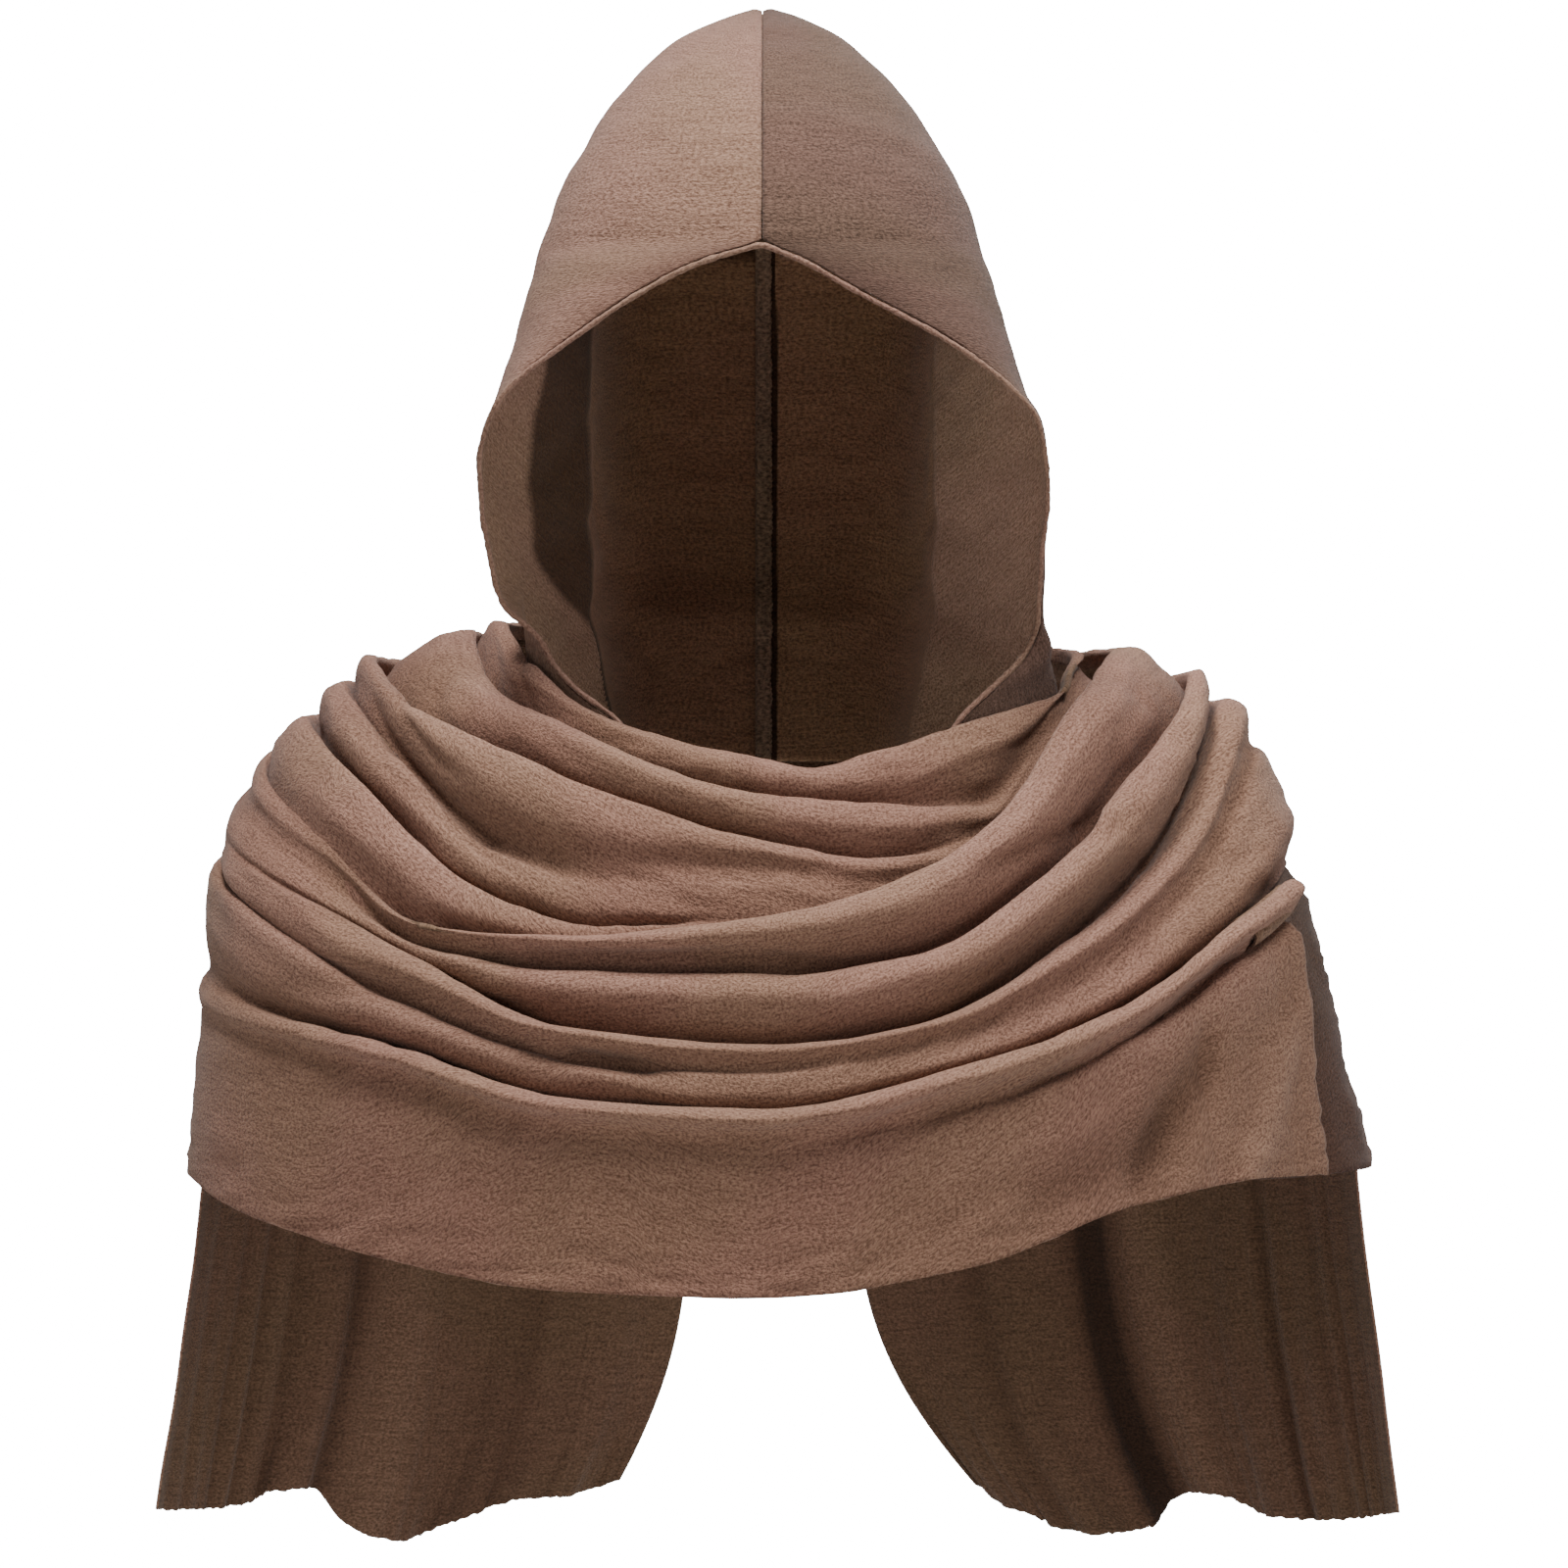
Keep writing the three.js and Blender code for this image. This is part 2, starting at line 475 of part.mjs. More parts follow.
function drapeGrid() {
  const turn = turnGrid(CHEST_FOLDS, DRAPE_ANGLES);
  const rows = turn.slice(DEEP_CREASE - 1);
  const normals = gridNormals(turn, false).slice(DEEP_CREASE - 1);
  const last = rows.length - 1;
  const tucked = CLOTH + LAYER_GAP;
  return rows.map((row, i) => row.map((p, j) => {
    const angle = DRAPE_ANGLES[j];
    const out = smoothstep(angle, FREE_EDGE + 1, 92) * (1 - smoothstep(angle, 184, 358 + BACK_EDGE));
    const fall = Math.max(i - 2, 0) / (last - 2);
    const belly = DRAPE_BELLY * fall ** 0.4 * (1 - fall) ** 0.8;
    const shift = i < 2 ? -tucked : lerp(-tucked, DRAPE_FLARE * fall ** 2 + belly, out);
    const uncovered = angle > FREE_EDGE && angle < 360 + BACK_EDGE;
    if (!uncovered || i < 2) return p.clone().addScaledVector(normals[i][j], shift);
    const rim = rows[1][j];
    const hem = rows[last][j];
    const down = hem.clone().sub(rim).normalize();
    const straight = rim.clone().addScaledVector(down, RIM_FALL).lerp(hem, fall);
    return straight.addScaledVector(normals[last][j], shift);
  }));
}
const backGrid = drapeGrid();
const backInner = offsetGrid(backGrid, gridNormals(backGrid, false), -CLOTH);
addPiece("back_drape", wall(backGrid, backInner, false), outerCloth);

// Hanging ends: hidden inside the hem above, free and waved below
const TAIL_COLUMNS = 13;
const TAIL_ROWS = 9;

// Two rows of points inside the hem at an angle, on the flat facets of the turn that
// carries the tail: the first TAIL_TUCK above the hem, the second level with it
function hemSeat(grid, angles, angle, inset) {
  const normals = gridNormals(grid, false);
  const j = Math.max(angles.findIndex((a) => a > angle) - 1, 0);
  const share = (angle - angles[j]) / (angles[j + 1] - angles[j]);
  const rows = [grid.length - 2, grid.length - 1];
  const [high, low] = rows.map((i) => {
    const point = grid[i][j].clone().lerp(grid[i][j + 1], share);
    return point.addScaledVector(normals[i][j].clone().lerp(normals[i][j + 1], share), -inset);
  });
  return [low.clone().lerp(high, TAIL_TUCK / low.distanceTo(high)), low];
}

function tailGrid(tail, grid, angles, layers) {
  const inset = layers * (CLOTH + LAYER_GAP);
  const side = tail.side;
  const columns = Array.from({ length: TAIL_COLUMNS + 1 }, (_, j) => (
    hemSeat(grid, angles, lerp(tail.from, tail.to, j / TAIL_COLUMNS), inset)));
  const outerX = columns[0][1].x;
  const innerX = columns[TAIL_COLUMNS][1].x;
  const lengths = tail.hem.map((pair) => pair[1]);
  const places = tail.hem.map((pair) => pair[0]);
  const rows = Array.from({ length: TAIL_ROWS + 1 }, (_, i) => columns.map(([tuck, seat]) => {
    if (i === 0) return tuck;
    const down = (i - 1) / (TAIL_ROWS - 1);
    const across = (seat.x - outerX) / (innerX - outerX);
    const shift = lerp(tail.outerShift * down, tail.innerShift * down ** 2.4, across);
    const wave = tail.waves.reduce((sum, [turns, phase, size]) => (
      sum + size * Math.sin(turns * Math.PI * 2 * across + phase)), 0);
    const point = seat.clone();
    point.x += side * shift * TAIL_DROP;
    point.y += TAIL_WAVE * wave * down ** 0.7;
    point.z -= curveAt(places, lengths, across) * TAIL_DROP * down;
    return point;
  }));
  return rows;
}

const backAngles = TURN_ANGLES.map((angle) => (angle > 90 ? angle - 360 : angle));
const backOrder = backAngles.map((_, j) => j).sort((a, b) => backAngles[a] - backAngles[b]);
const rightSeat = chestGrid.map((row) => backOrder.map((j) => row[j]));
const rightAngles = backOrder.map((j) => backAngles[j]);
const tailSeats = [
  [RIGHT_TAIL, rightSeat, rightAngles, 2],
  [LEFT_TAIL, backGrid, DRAPE_ANGLES, 1],
];
tailSeats.forEach(([tail, seat, angles, layers]) => {
  const rows = tailGrid(tail, seat, angles, layers);
  if (tail.side < 0) rows.forEach((row) => row.reverse());
  const inner = offsetGrid(rows, gridNormals(rows, false), -CLOTH);
  addPiece(tail.name, wall(rows, inner, false), reverseCloth);
});

export default hood;
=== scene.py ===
import bpy
import numpy as np
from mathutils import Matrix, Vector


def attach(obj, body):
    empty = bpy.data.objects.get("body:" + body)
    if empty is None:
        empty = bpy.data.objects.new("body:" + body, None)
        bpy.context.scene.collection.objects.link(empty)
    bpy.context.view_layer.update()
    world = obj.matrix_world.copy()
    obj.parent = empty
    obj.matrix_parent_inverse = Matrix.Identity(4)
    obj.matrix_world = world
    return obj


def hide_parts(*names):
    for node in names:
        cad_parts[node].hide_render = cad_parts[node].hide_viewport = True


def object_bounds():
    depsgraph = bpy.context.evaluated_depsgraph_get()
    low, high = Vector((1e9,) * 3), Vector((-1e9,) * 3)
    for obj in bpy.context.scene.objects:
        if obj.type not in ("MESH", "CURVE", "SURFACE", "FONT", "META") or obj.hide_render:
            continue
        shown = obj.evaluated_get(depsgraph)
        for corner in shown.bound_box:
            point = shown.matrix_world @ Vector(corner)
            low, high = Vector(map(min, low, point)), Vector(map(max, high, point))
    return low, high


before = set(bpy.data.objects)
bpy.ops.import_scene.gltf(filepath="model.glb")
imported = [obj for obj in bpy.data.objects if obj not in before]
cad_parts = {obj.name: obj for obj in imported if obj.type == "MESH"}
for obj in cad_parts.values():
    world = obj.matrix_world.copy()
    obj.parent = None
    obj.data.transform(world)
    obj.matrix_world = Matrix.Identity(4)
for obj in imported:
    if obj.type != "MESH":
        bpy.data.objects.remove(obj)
cad_box = [[float(v) for v in corner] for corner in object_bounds()]

# The studio: a level camera far in front, so that the view is nearly flat, as in a
# catalogue picture, with a pale floor below the hanging ends and large soft lights.
VIEW_WIDTH = 0.704
VIEW_CENTRE = (0.0097, -0.03, -0.262)
CAMERA_DISTANCE = 9.0
SENSOR_WIDTH = 36.0
FLOOR_DROP = 0.25
FLOOR_RADIUS = 4.0
FLOOR_SIDES = 96
# The white that the camera sees behind the hood is far stronger than what lights the cloth
ROOM_LIGHT = 0.15
BACKDROP_WHITE = 20.0


def srgb(code):
    """Linear colour of an sRGB hex code: each channel through the sRGB curve."""
    channels = np.array([int(code[i:i + 2], 16) for i in (1, 3, 5)]) / 255
    linear = np.where(channels <= 0.04045, channels / 12.92, ((channels + 0.055) / 1.055) ** 2.4)
    return (*(float(c) for c in linear), 1.0)


def add(tree, kind, settings, *values, **named):
    """A shader node with its settings. A value is a socket's number, or the socket it is linked to."""
    node = tree.nodes.new("ShaderNode" + kind)
    for key, setting in settings.items():
        setattr(node, key, setting)
    for key, value in [*enumerate(values), *named.items()]:
        socket = node.inputs[key.replace("_", " ") if isinstance(key, str) else key]
        if isinstance(value, bpy.types.NodeSocket):
            tree.links.new(value, socket)
        else:
            socket.default_value = value
    return node


def new_material(name):
    """An empty node material and its output."""
    material = bpy.data.materials.new(name)
    material.use_nodes = True
    material.node_tree.nodes.clear()
    return material, material.node_tree


def area_light(name, place, target, size, power):
    """A square soft white light at a place, facing a target: metres and watts."""
    data = bpy.data.lights.new(name, "AREA")
    data.size = size
    data.energy = power
    light = bpy.data.objects.new(name, data)
    light.location = place
    direction = np.array(target) - np.array(place)
    flat = float(np.hypot(direction[0], direction[1]))
    light.rotation_euler = (
        float(np.arctan2(flat, -direction[2])), 0.0, float(np.arctan2(-direction[0], direction[1])))
    bpy.context.collection.objects.link(light)


camera_data = bpy.data.cameras.new("catalogue_camera")
camera_data.sensor_width = SENSOR_WIDTH
camera_data.lens = SENSOR_WIDTH * CAMERA_DISTANCE / VIEW_WIDTH
camera_data.clip_end = 100.0
camera = bpy.data.objects.new("catalogue_camera", camera_data)
camera.location = (VIEW_CENTRE[0], VIEW_CENTRE[1] - CAMERA_DISTANCE, VIEW_CENTRE[2])
camera.rotation_euler = (np.pi / 2, 0.0, 0.0)
bpy.context.collection.objects.link(camera)
bpy.context.scene.camera = camera

world = bpy.data.worlds.new("white_studio")
world.use_nodes = True
world.node_tree.nodes.clear()
seen = add(world.node_tree, "LightPath", {}).outputs["Is Camera Ray"]
strength = add(world.node_tree, "MapRange", {}, seen, 0.0, 1.0, ROOM_LIGHT, BACKDROP_WHITE).outputs[0]
air = add(world.node_tree, "Background", {}, srgb("#ffffff"), strength)
add(world.node_tree, "OutputWorld", {}, Surface=air.outputs[0])
bpy.context.scene.world = world

area_light("key_softbox", (-0.32, -0.5, 1.4), VIEW_CENTRE, 0.5, 37.5)
area_light("left_softbox", (-1.7, -1.4, -0.15), VIEW_CENTRE, 0.6, 4.0)
area_light("right_softbox", (1.8, -1.2, -0.35), VIEW_CENTRE, 0.7, 7.5)
area_light("shoulder_softbox", (0.56, -0.5, 0.9), (0.16, -0.08, -0.25), 0.4, 12.0)
area_light("back_softbox", (0.6, 2.2, 1.5), VIEW_CENTRE, 1.4, 22.0)

floor_angles = np.linspace(0, 2 * np.pi, FLOOR_SIDES, endpoint=False)
floor_z = cad_box[0][2] - FLOOR_DROP
floor_rim = [(FLOOR_RADIUS * np.cos(a), FLOOR_RADIUS * np.sin(a), floor_z) for a in floor_angles]
floor_mesh = bpy.data.meshes.new("studio_floor")
floor_mesh.from_pydata(floor_rim, [], [list(range(len(floor_rim)))])
floor = bpy.data.objects.new("studio_floor", floor_mesh)
bpy.context.collection.objects.link(floor)
# Matt white paint, rolled on: it has no gloss and only throws a little light up at the hems
floor_paint, floor_tree = new_material("matt_white_paint")
floor_skin = add(floor_tree, "BsdfPrincipled", {}, Base_Color=srgb("#f2f1ef"), Roughness=0.9)
add(floor_tree, "OutputMaterial", {}, Surface=floor_skin.outputs[0])
floor_mesh.materials.append(floor_paint)

# The hood: two panels of crepe sewn over the crown, hanging from the crown to the collar.
# Their sections are level slices, from the front edge or front seam round to the back seam.
# The inside, which shows in the face opening, has painted light and shade: a paler facing and a darker olive
# brown behind it.

# Sizes are in millimetres, heights above the level of the collar's dip, angles in degrees
# round the body from the front, positive towards the wearer's left.
MM = 0.001
CLOTH = 1.3
SEAM_GAP = 0.3
LAYER_GAP = 0.5
HOOD_RISE = 350
HOOD_HALF = 127
HOOD_FRONT = 126
HOOD_BACK = 108
HEAD_TOP = 262
HEM_ROLL = 3.0
COLLAR_RIGHT = HOOD_HALF * 0.95
COLLAR_LEFT = HOOD_HALF * 1.18
COLLAR_FRONT = HOOD_FRONT * 0.75
COLLAR_BACK = HOOD_BACK * 0.97
COLLAR_EASE = 30
FOLD_TUCK = 8
WRAP_DROP = 200
ROUNDNESS = 0.8
NOTCH_DEPTH = 7
NOTCH_ANGLE = 9
NOTCH_SPREAD = 7
# The angles at which the collar and the folds are charted, and the collar's heights there,
# as shares of WRAP_DROP
STATIONS = [-180, -90, -60, -40, -20, 0, 20, 40, 60, 90, 180]
COLLAR_HEIGHT = [0.34, 0.36, 0.276, 0.163, 0.097, 0.062, 0.076, 0.145, 0.197, 0.29, 0.34]

# One row a section: height, half widths of the wearer's right and left, half widths of the
# face opening on each side, half width of the back corner, reach of the front edge, of the
# widest place and of the back seam, how round the back is, and how far back the side has
# drawn in. All shares of the sizes above.
HOOD_SECTIONS = np.array([
    (0.029, 0.79, 1.02, 0.42, 0.6, 0.53, 0.6, 0.28, 0.85, 0.5, 0.45),
    (0.074, 0.83, 1.08, 0.52, 0.74, 0.54, 0.61, 0.32, 0.87, 0.5, 0.45),
    (0.125, 0.87, 1.09, 0.74, 0.86, 0.57, 0.53, 0.38, 0.89, 0.48, 0.45),
    (0.171, 0.89, 1.05, 0.86, 0.95, 0.59, 0.46, 0.42, 0.91, 0.46, 0.45),
    (0.217, 0.915, 0.995, 0.915, 0.99, 0.612, 0.49, 0.42, 0.935, 0.45, 0.45),
    (0.286, 0.96, 0.995, 0.96, 0.99, 0.615, 0.61, 0.5, 0.965, 0.45, 0.45),
    (0.343, 0.985, 1.005, 0.985, 1.005, 0.62, 0.71, 0.58, 0.98, 0.45, 0.45),
    (0.4, 1, 1.005, 1, 1.005, 0.62, 0.795, 0.64, 0.99, 0.45, 0.45),
    (0.463, 0.972, 0.98, 0.962, 0.97, 0.62, 0.87, 0.66, 1, 0.45, 0.45),
    (0.506, 0.925, 0.925, 0.89, 0.88, 0.62, 0.91, 0.64, 1, 0.46, 0.45),
    (0.571, 0.87, 0.87, 0.665, 0.64, 0.62, 0.945, 0.58, 1, 0.48, 0.45),
    (0.629, 0.83, 0.825, 0.43, 0.34, 0.615, 0.975, 0.51, 0.985, 0.5, 0.6),
    (0.668, 0.8, 0.79, 0.21, 0.15, 0.605, 0.995, 0.46, 0.96, 0.53, 0.8),
    (0.692, 0.78, 0.77, 0, 0, 0.6, 1, 0.42, 0.94, 0.56, 1),
    (0.749, 0.727, 0.72, 0, 0, 0.55, 0.945, 0.36, 0.88, 0.62, 1),
    (0.817, 0.633, 0.62, 0, 0, 0.46, 0.825, 0.29, 0.76, 0.7, 1),
    (0.874, 0.53, 0.515, 0, 0, 0.38, 0.675, 0.22, 0.61, 0.8, 1),
    (0.923, 0.415, 0.4, 0, 0, 0.3, 0.5, 0.17, 0.42, 0.9, 1),
    (0.96, 0.28, 0.27, 0, 0, 0.2, 0.33, 0.13, 0.22, 0.95, 1),
    (0.985, 0.135, 0.14, 0, 0, 0.09, 0.19, 0.09, 0.04, 1, 1),
    (0.997, 0.035, 0.035, 0, 0, 0.025, 0.12, 0.08, -0.05, 1, 1),
])
PEAK_ROW = 13
SMOOTHINGS = 14


def lerp(a, b, share):
    """Straight mix of two values."""
    return a + (b - a) * share


def smoothstep(value, low, high):
    """0 below low, 1 above high and 3t^2 - 2t^3 between them."""
    t = np.clip((value - low) / (high - low), 0, 1)
    return t * t * (3 - 2 * t)


def curve_at(knots, values, at):
    """Monotone cubic through knots: Hermite pieces whose slopes are harmonic means of the chords'."""
    knots = np.asarray(knots, float)
    values = np.asarray(values, float)
    width = np.diff(knots)
    slope = np.diff(values) / width
    a = 2 * width[1:] + width[:-1]
    b = width[1:] + 2 * width[:-1]
    rising = slope[:-1] * slope[1:] > 0
    safe = np.where(rising, slope[:-1], 1), np.where(rising, slope[1:], 1)
    inner = np.where(rising, (a + b) / (a / safe[0] + b / safe[1]), 0)
    tangent = np.concatenate([slope[:1], inner, slope[-1:]])
    i = np.clip(np.searchsorted(knots, at, side="right") - 1, 0, len(width) - 1)
    t = np.clip((at - knots[i]) / width[i], 0, 1)
    return ((1 + 2 * t) * (1 - t) ** 2 * values[i] + t * (1 - t) ** 2 * width[i] * tangent[i]
            + t * t * (3 - 2 * t) * values[i + 1] + t * t * (t - 1) * width[i] * tangent[i + 1])


def half_turns(angle):
    """Angles brought to between -180 and 180 degrees."""
    return np.mod(angle + 180, 360) - 180


def outwards(angle):
    """Level unit vectors away from the body's middle: the sine and the negative cosine of the angle."""
    return np.stack([np.sin(np.radians(angle)), -np.cos(np.radians(angle)), 0 * angle], -1)


def unit(vectors):
    """Vectors divided by their lengths."""
    return vectors / np.maximum(np.linalg.norm(vectors, axis=-1, keepdims=True), 1e-9)


def run_along(points):
    """Length of cloth from the first row of a line or a grid of points to each of its rows."""
    steps = np.linalg.norm(np.diff(points, axis=0), axis=-1)
    return np.concatenate([np.zeros((1,) + steps.shape[1:]), np.cumsum(steps, 0)])


def collar_height(angle):
    """Height of the collar's edge at an angle: its charted curve less the bell-shaped notch."""
    notch = NOTCH_DEPTH * np.exp(-((angle - NOTCH_ANGLE) / NOTCH_SPREAD) ** 2)
    return curve_at(STATIONS, COLLAR_HEIGHT, angle) * WRAP_DROP - notch


def inside_collar(grid):
    """Points outside the collar's oval drawn in to it, fully below its edge and less above it."""
    inset = FOLD_TUCK * 0.5 + CLOTH + LAYER_GAP * 1.6
    x, y, z = np.moveaxis(grid, -1, 0)
    side = np.where(x < 0, COLLAR_RIGHT, COLLAR_LEFT) - inset
    reach = np.where(y < 0, COLLAR_FRONT, COLLAR_BACK) - inset
    wide = np.abs(x) / side
    deep = (np.abs(y) / reach) ** (1 / ROUNDNESS)
    size = np.maximum(np.hypot(wide, deep), 1)
    angle = np.degrees(np.arctan2(np.sign(x) * wide, -np.sign(y) * deep))
    edge = collar_height(angle)
    pull = 1 - smoothstep(z, edge + HEM_ROLL, edge + COLLAR_EASE)
    return np.stack([x * lerp(1, 1 / size, pull), y * lerp(1, size ** -ROUNDNESS, pull), z], -1)


def resample(line, count):
    """A polyline's points at equal steps of its length, each run of it smoothed between its ends."""
    length = run_along(line[:, :3])
    at = np.linspace(0, length[-1], count)
    points = np.stack([np.interp(at, length, column) for column in line.T], -1)
    for _ in range(SMOOTHINGS):
        points[1:-1] = points[1:-1] * 0.5 + (points[:-2] + points[2:]) * 0.25
    return points


def grid_normals(grid, closed=False):
    """Unit cross products of a grid's two slopes: its rows run down, and its columns run left to
    right seen from outside."""
    if closed:
        along = np.roll(grid, -1, 1) - np.roll(grid, 1, 1)
    else:
        along = np.gradient(grid, axis=1)
    return unit(np.cross(np.gradient(grid, axis=0), along))


def crinkle(along, down, length, height, seed, waves=28):
    """Even random relief of about -1 to 1: waves of random phase, longer along than down."""
    chance = np.random.default_rng(seed)
    turn = chance.normal(0, 1, (waves, 2)) * 2 * np.pi / np.array([length, height])
    phase = chance.uniform(0, 2 * np.pi, waves)
    relief = sum(np.cos(turn[k, 0] * along + turn[k, 1] * down + phase[k]) for k in range(waves))
    return relief / np.sqrt(waves)


def pressed(along, down, lines):
    """Folds and creases along arcs: each a bell across its line that fades at its ends.

    A line is (along0, down0, along1, down1, sag, half width, depth), and a depth below 0 is a
    crease."""
    relief = np.zeros(np.broadcast(along, down).shape)
    for a0, d0, a1, d1, sag, width, depth in lines:
        t = (along - a0) / (a1 - a0)
        line = lerp(d0, d1, t) + sag * 4 * t * (1 - t)
        fade = smoothstep(t, 0, 0.25) * (1 - smoothstep(t, 0.75, 1))
        relief = relief + depth * fade * np.exp(-((down - line) / width) ** 2)
    return relief


def crepe(name, light, dark, bump=1.0, painted_shades=None):
    """Crepe cotton: matt and slightly downy, with fine short crinkles across the warp.

    The crinkles are about 3 by 1.2 mm and drawn a little coarser than the real yarn's, with
    thread grain of 0.8 mm over them and faint pulled threads, 30 by 2 mm, between them.
    Soft patches vary the dye from a rosy to an olive brown. Painted shades lists painted light and shade over
    the dye, by the piece's drawn_in attribute."""
    material, tree = new_material(name)
    place = add(tree, "UVMap", {"uv_map": "cloth"}).outputs[0]
    relief = None
    for stretch, share in (((640, 900, 1), None), ((1300, 1500, 1), 0.35), ((60, 620, 1), 0.2)):
        turned = add(tree, "Mapping", {}, place, Scale=stretch).outputs[0]
        noise = add(tree, "TexNoise", {"noise_dimensions": "2D"}, turned,
                    Scale=1.0, Detail=2.0, Roughness=0.55).outputs[0]
        relief = noise if relief is None else add(tree, "MixRGB", {}, share, relief, noise).outputs[0]
    tone = add(tree, "ValToRGB", {}, relief)
    tone.color_ramp.elements[0].position = 0.36
    tone.color_ramp.elements[0].color = srgb(dark)
    tone.color_ramp.elements[1].position = 0.64
    tone.color_ramp.elements[1].color = srgb(light)
    patch = add(tree, "TexNoise", {"noise_dimensions": "2D"}, place, Scale=11.0, Detail=0.0).outputs[0]
    dye = add(tree, "ValToRGB", {}, patch)
    dye.color_ramp.elements[0].position = 0.38
    dye.color_ramp.elements[0].color = srgb("#fff7f4")
    dye.color_ramp.elements[1].position = 0.62
    dye.color_ramp.elements[1].color = srgb("#faf8ee")
    dyed = add(tree, "MixRGB", {"blend_type": "MULTIPLY"}, 1.0, tone.outputs[0], dye.outputs[0]).outputs[0]
    # Painted light and shade: the drawn_in attribute picks a multiplier from the painted shades
    if painted_shades:
        drawn = add(tree, "Attribute", {"attribute_name": "drawn_in"}).outputs["Fac"]
        zones = add(tree, "ValToRGB", {}, drawn)
        zones.color_ramp.elements[0].color = srgb(painted_shades[0][1])
        zones.color_ramp.elements[1].color = srgb(painted_shades[-1][1])
        for at, shade in painted_shades:
            zones.color_ramp.elements.new(at).color = srgb(shade)
        dyed = add(tree, "MixRGB", {"blend_type": "MULTIPLY"}, 1.0, dyed, zones.outputs[0]).outputs[0]
    bumps = add(tree, "Bump", {}, Strength=bump, Distance=0.001, Height=relief).outputs[0]
    skin = add(tree, "BsdfPrincipled", {}, Base_Color=dyed, Roughness=0.94, Normal=bumps,
               Specular_IOR_Level=0.25, Sheen_Weight=0.12, Sheen_Roughness=0.5)
    add(tree, "OutputMaterial", {}, Surface=skin.outputs[0])
    return material


# The face of the cloth is rosy brown. The hood's left panel is painted darker, as shade of the side turned
# from the light, and the reverse is yellower and a little smoother.
face_crepe = crepe("brown_crepe_face", "#a08070", "#63473a")
shaded_left_face = crepe("brown_crepe_left_panel_painted_shade", "#745b50", "#453228")
reverse_crepe = crepe("brown_crepe_reverse", "#8d715e", "#5b4434", 0.9)


def in_frame(points):
    """Points in the frame's metres, measured from the top of the head."""
    return (points - np.array([0, 0, HEAD_TOP])) * MM


def dressed(name, mesh, node):
    """The object of a piece that is shown instead of its CAD node."""
    piece = bpy.data.objects.new(name, mesh)
    bpy.context.collection.objects.link(piece)
    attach(piece, "root")
    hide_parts(node)
    return piece


def cloth_piece(name, grid, node, drawn, materials, closed=False, keep=None):
    """One layer of cloth over a grid of points in millimetres, with its wall on the inner side.

    The map's u runs along the rows and its v down the columns, both in metres of cloth. Drawn is the painted
    light and shade at each point, and materials are those of the face and the reverse."""
    rows, columns = grid.shape[:2]
    points = in_frame(grid)
    i, j = np.meshgrid(np.arange(rows - 1), np.arange(columns if closed else columns - 1), indexing="ij")
    cells = np.ones(i.shape, bool) if keep is None else keep(i, j)
    i, j = i[cells], j[cells]
    right = (j + 1) % columns
    corners = np.stack(
        [i * columns + j, (i + 1) * columns + j, (i + 1) * columns + right, i * columns + right], -1)
    used, faces = np.unique(corners, return_inverse=True)
    faces = faces.reshape(-1, 4)
    v = -run_along(points)
    stepped = np.linalg.norm(points - np.roll(points, 1, 1), axis=-1).mean(0)
    if not closed:
        stepped[0] = 0
    u = np.cumsum(stepped)
    corner_u = np.stack([u[j], u[j], u[j] + stepped[right], u[j] + stepped[right]], -1)
    corner_v = np.stack([v[i, j], v[i + 1, j], v[i + 1, right], v[i, right]], -1)
    mesh = bpy.data.meshes.new(name)
    mesh.from_pydata(points.reshape(-1, 3)[used].tolist(), [], faces.tolist())
    layer = mesh.uv_layers.new(name="cloth")
    layer.data.foreach_set("uv", np.stack([corner_u, corner_v], -1).ravel())
    mesh.polygons.foreach_set("use_smooth", np.ones(len(faces), bool))
    # The drawn_in attribute carries the painted light and shade
    mesh.attributes.new("drawn_in", "FLOAT", "POINT").data.foreach_set("value", drawn.ravel()[used])
    for material in materials:
        mesh.materials.append(material)
    piece = dressed(name, mesh, node)
    wall = piece.modifiers.new("cloth_wall", "SOLIDIFY")
    wall.thickness = CLOTH * MM
    wall.offset = -1
    wall.material_offset = 1
    return piece


HOOD_ROWS = 150
HOOD_COLUMNS = 190
FRONT_POINTS = 120
SIDE_POINTS = 400
FRONT_SQUARENESS = 1.15
SEAM_GROOVE = 0.9
SEAM_PUCKER = 0.35


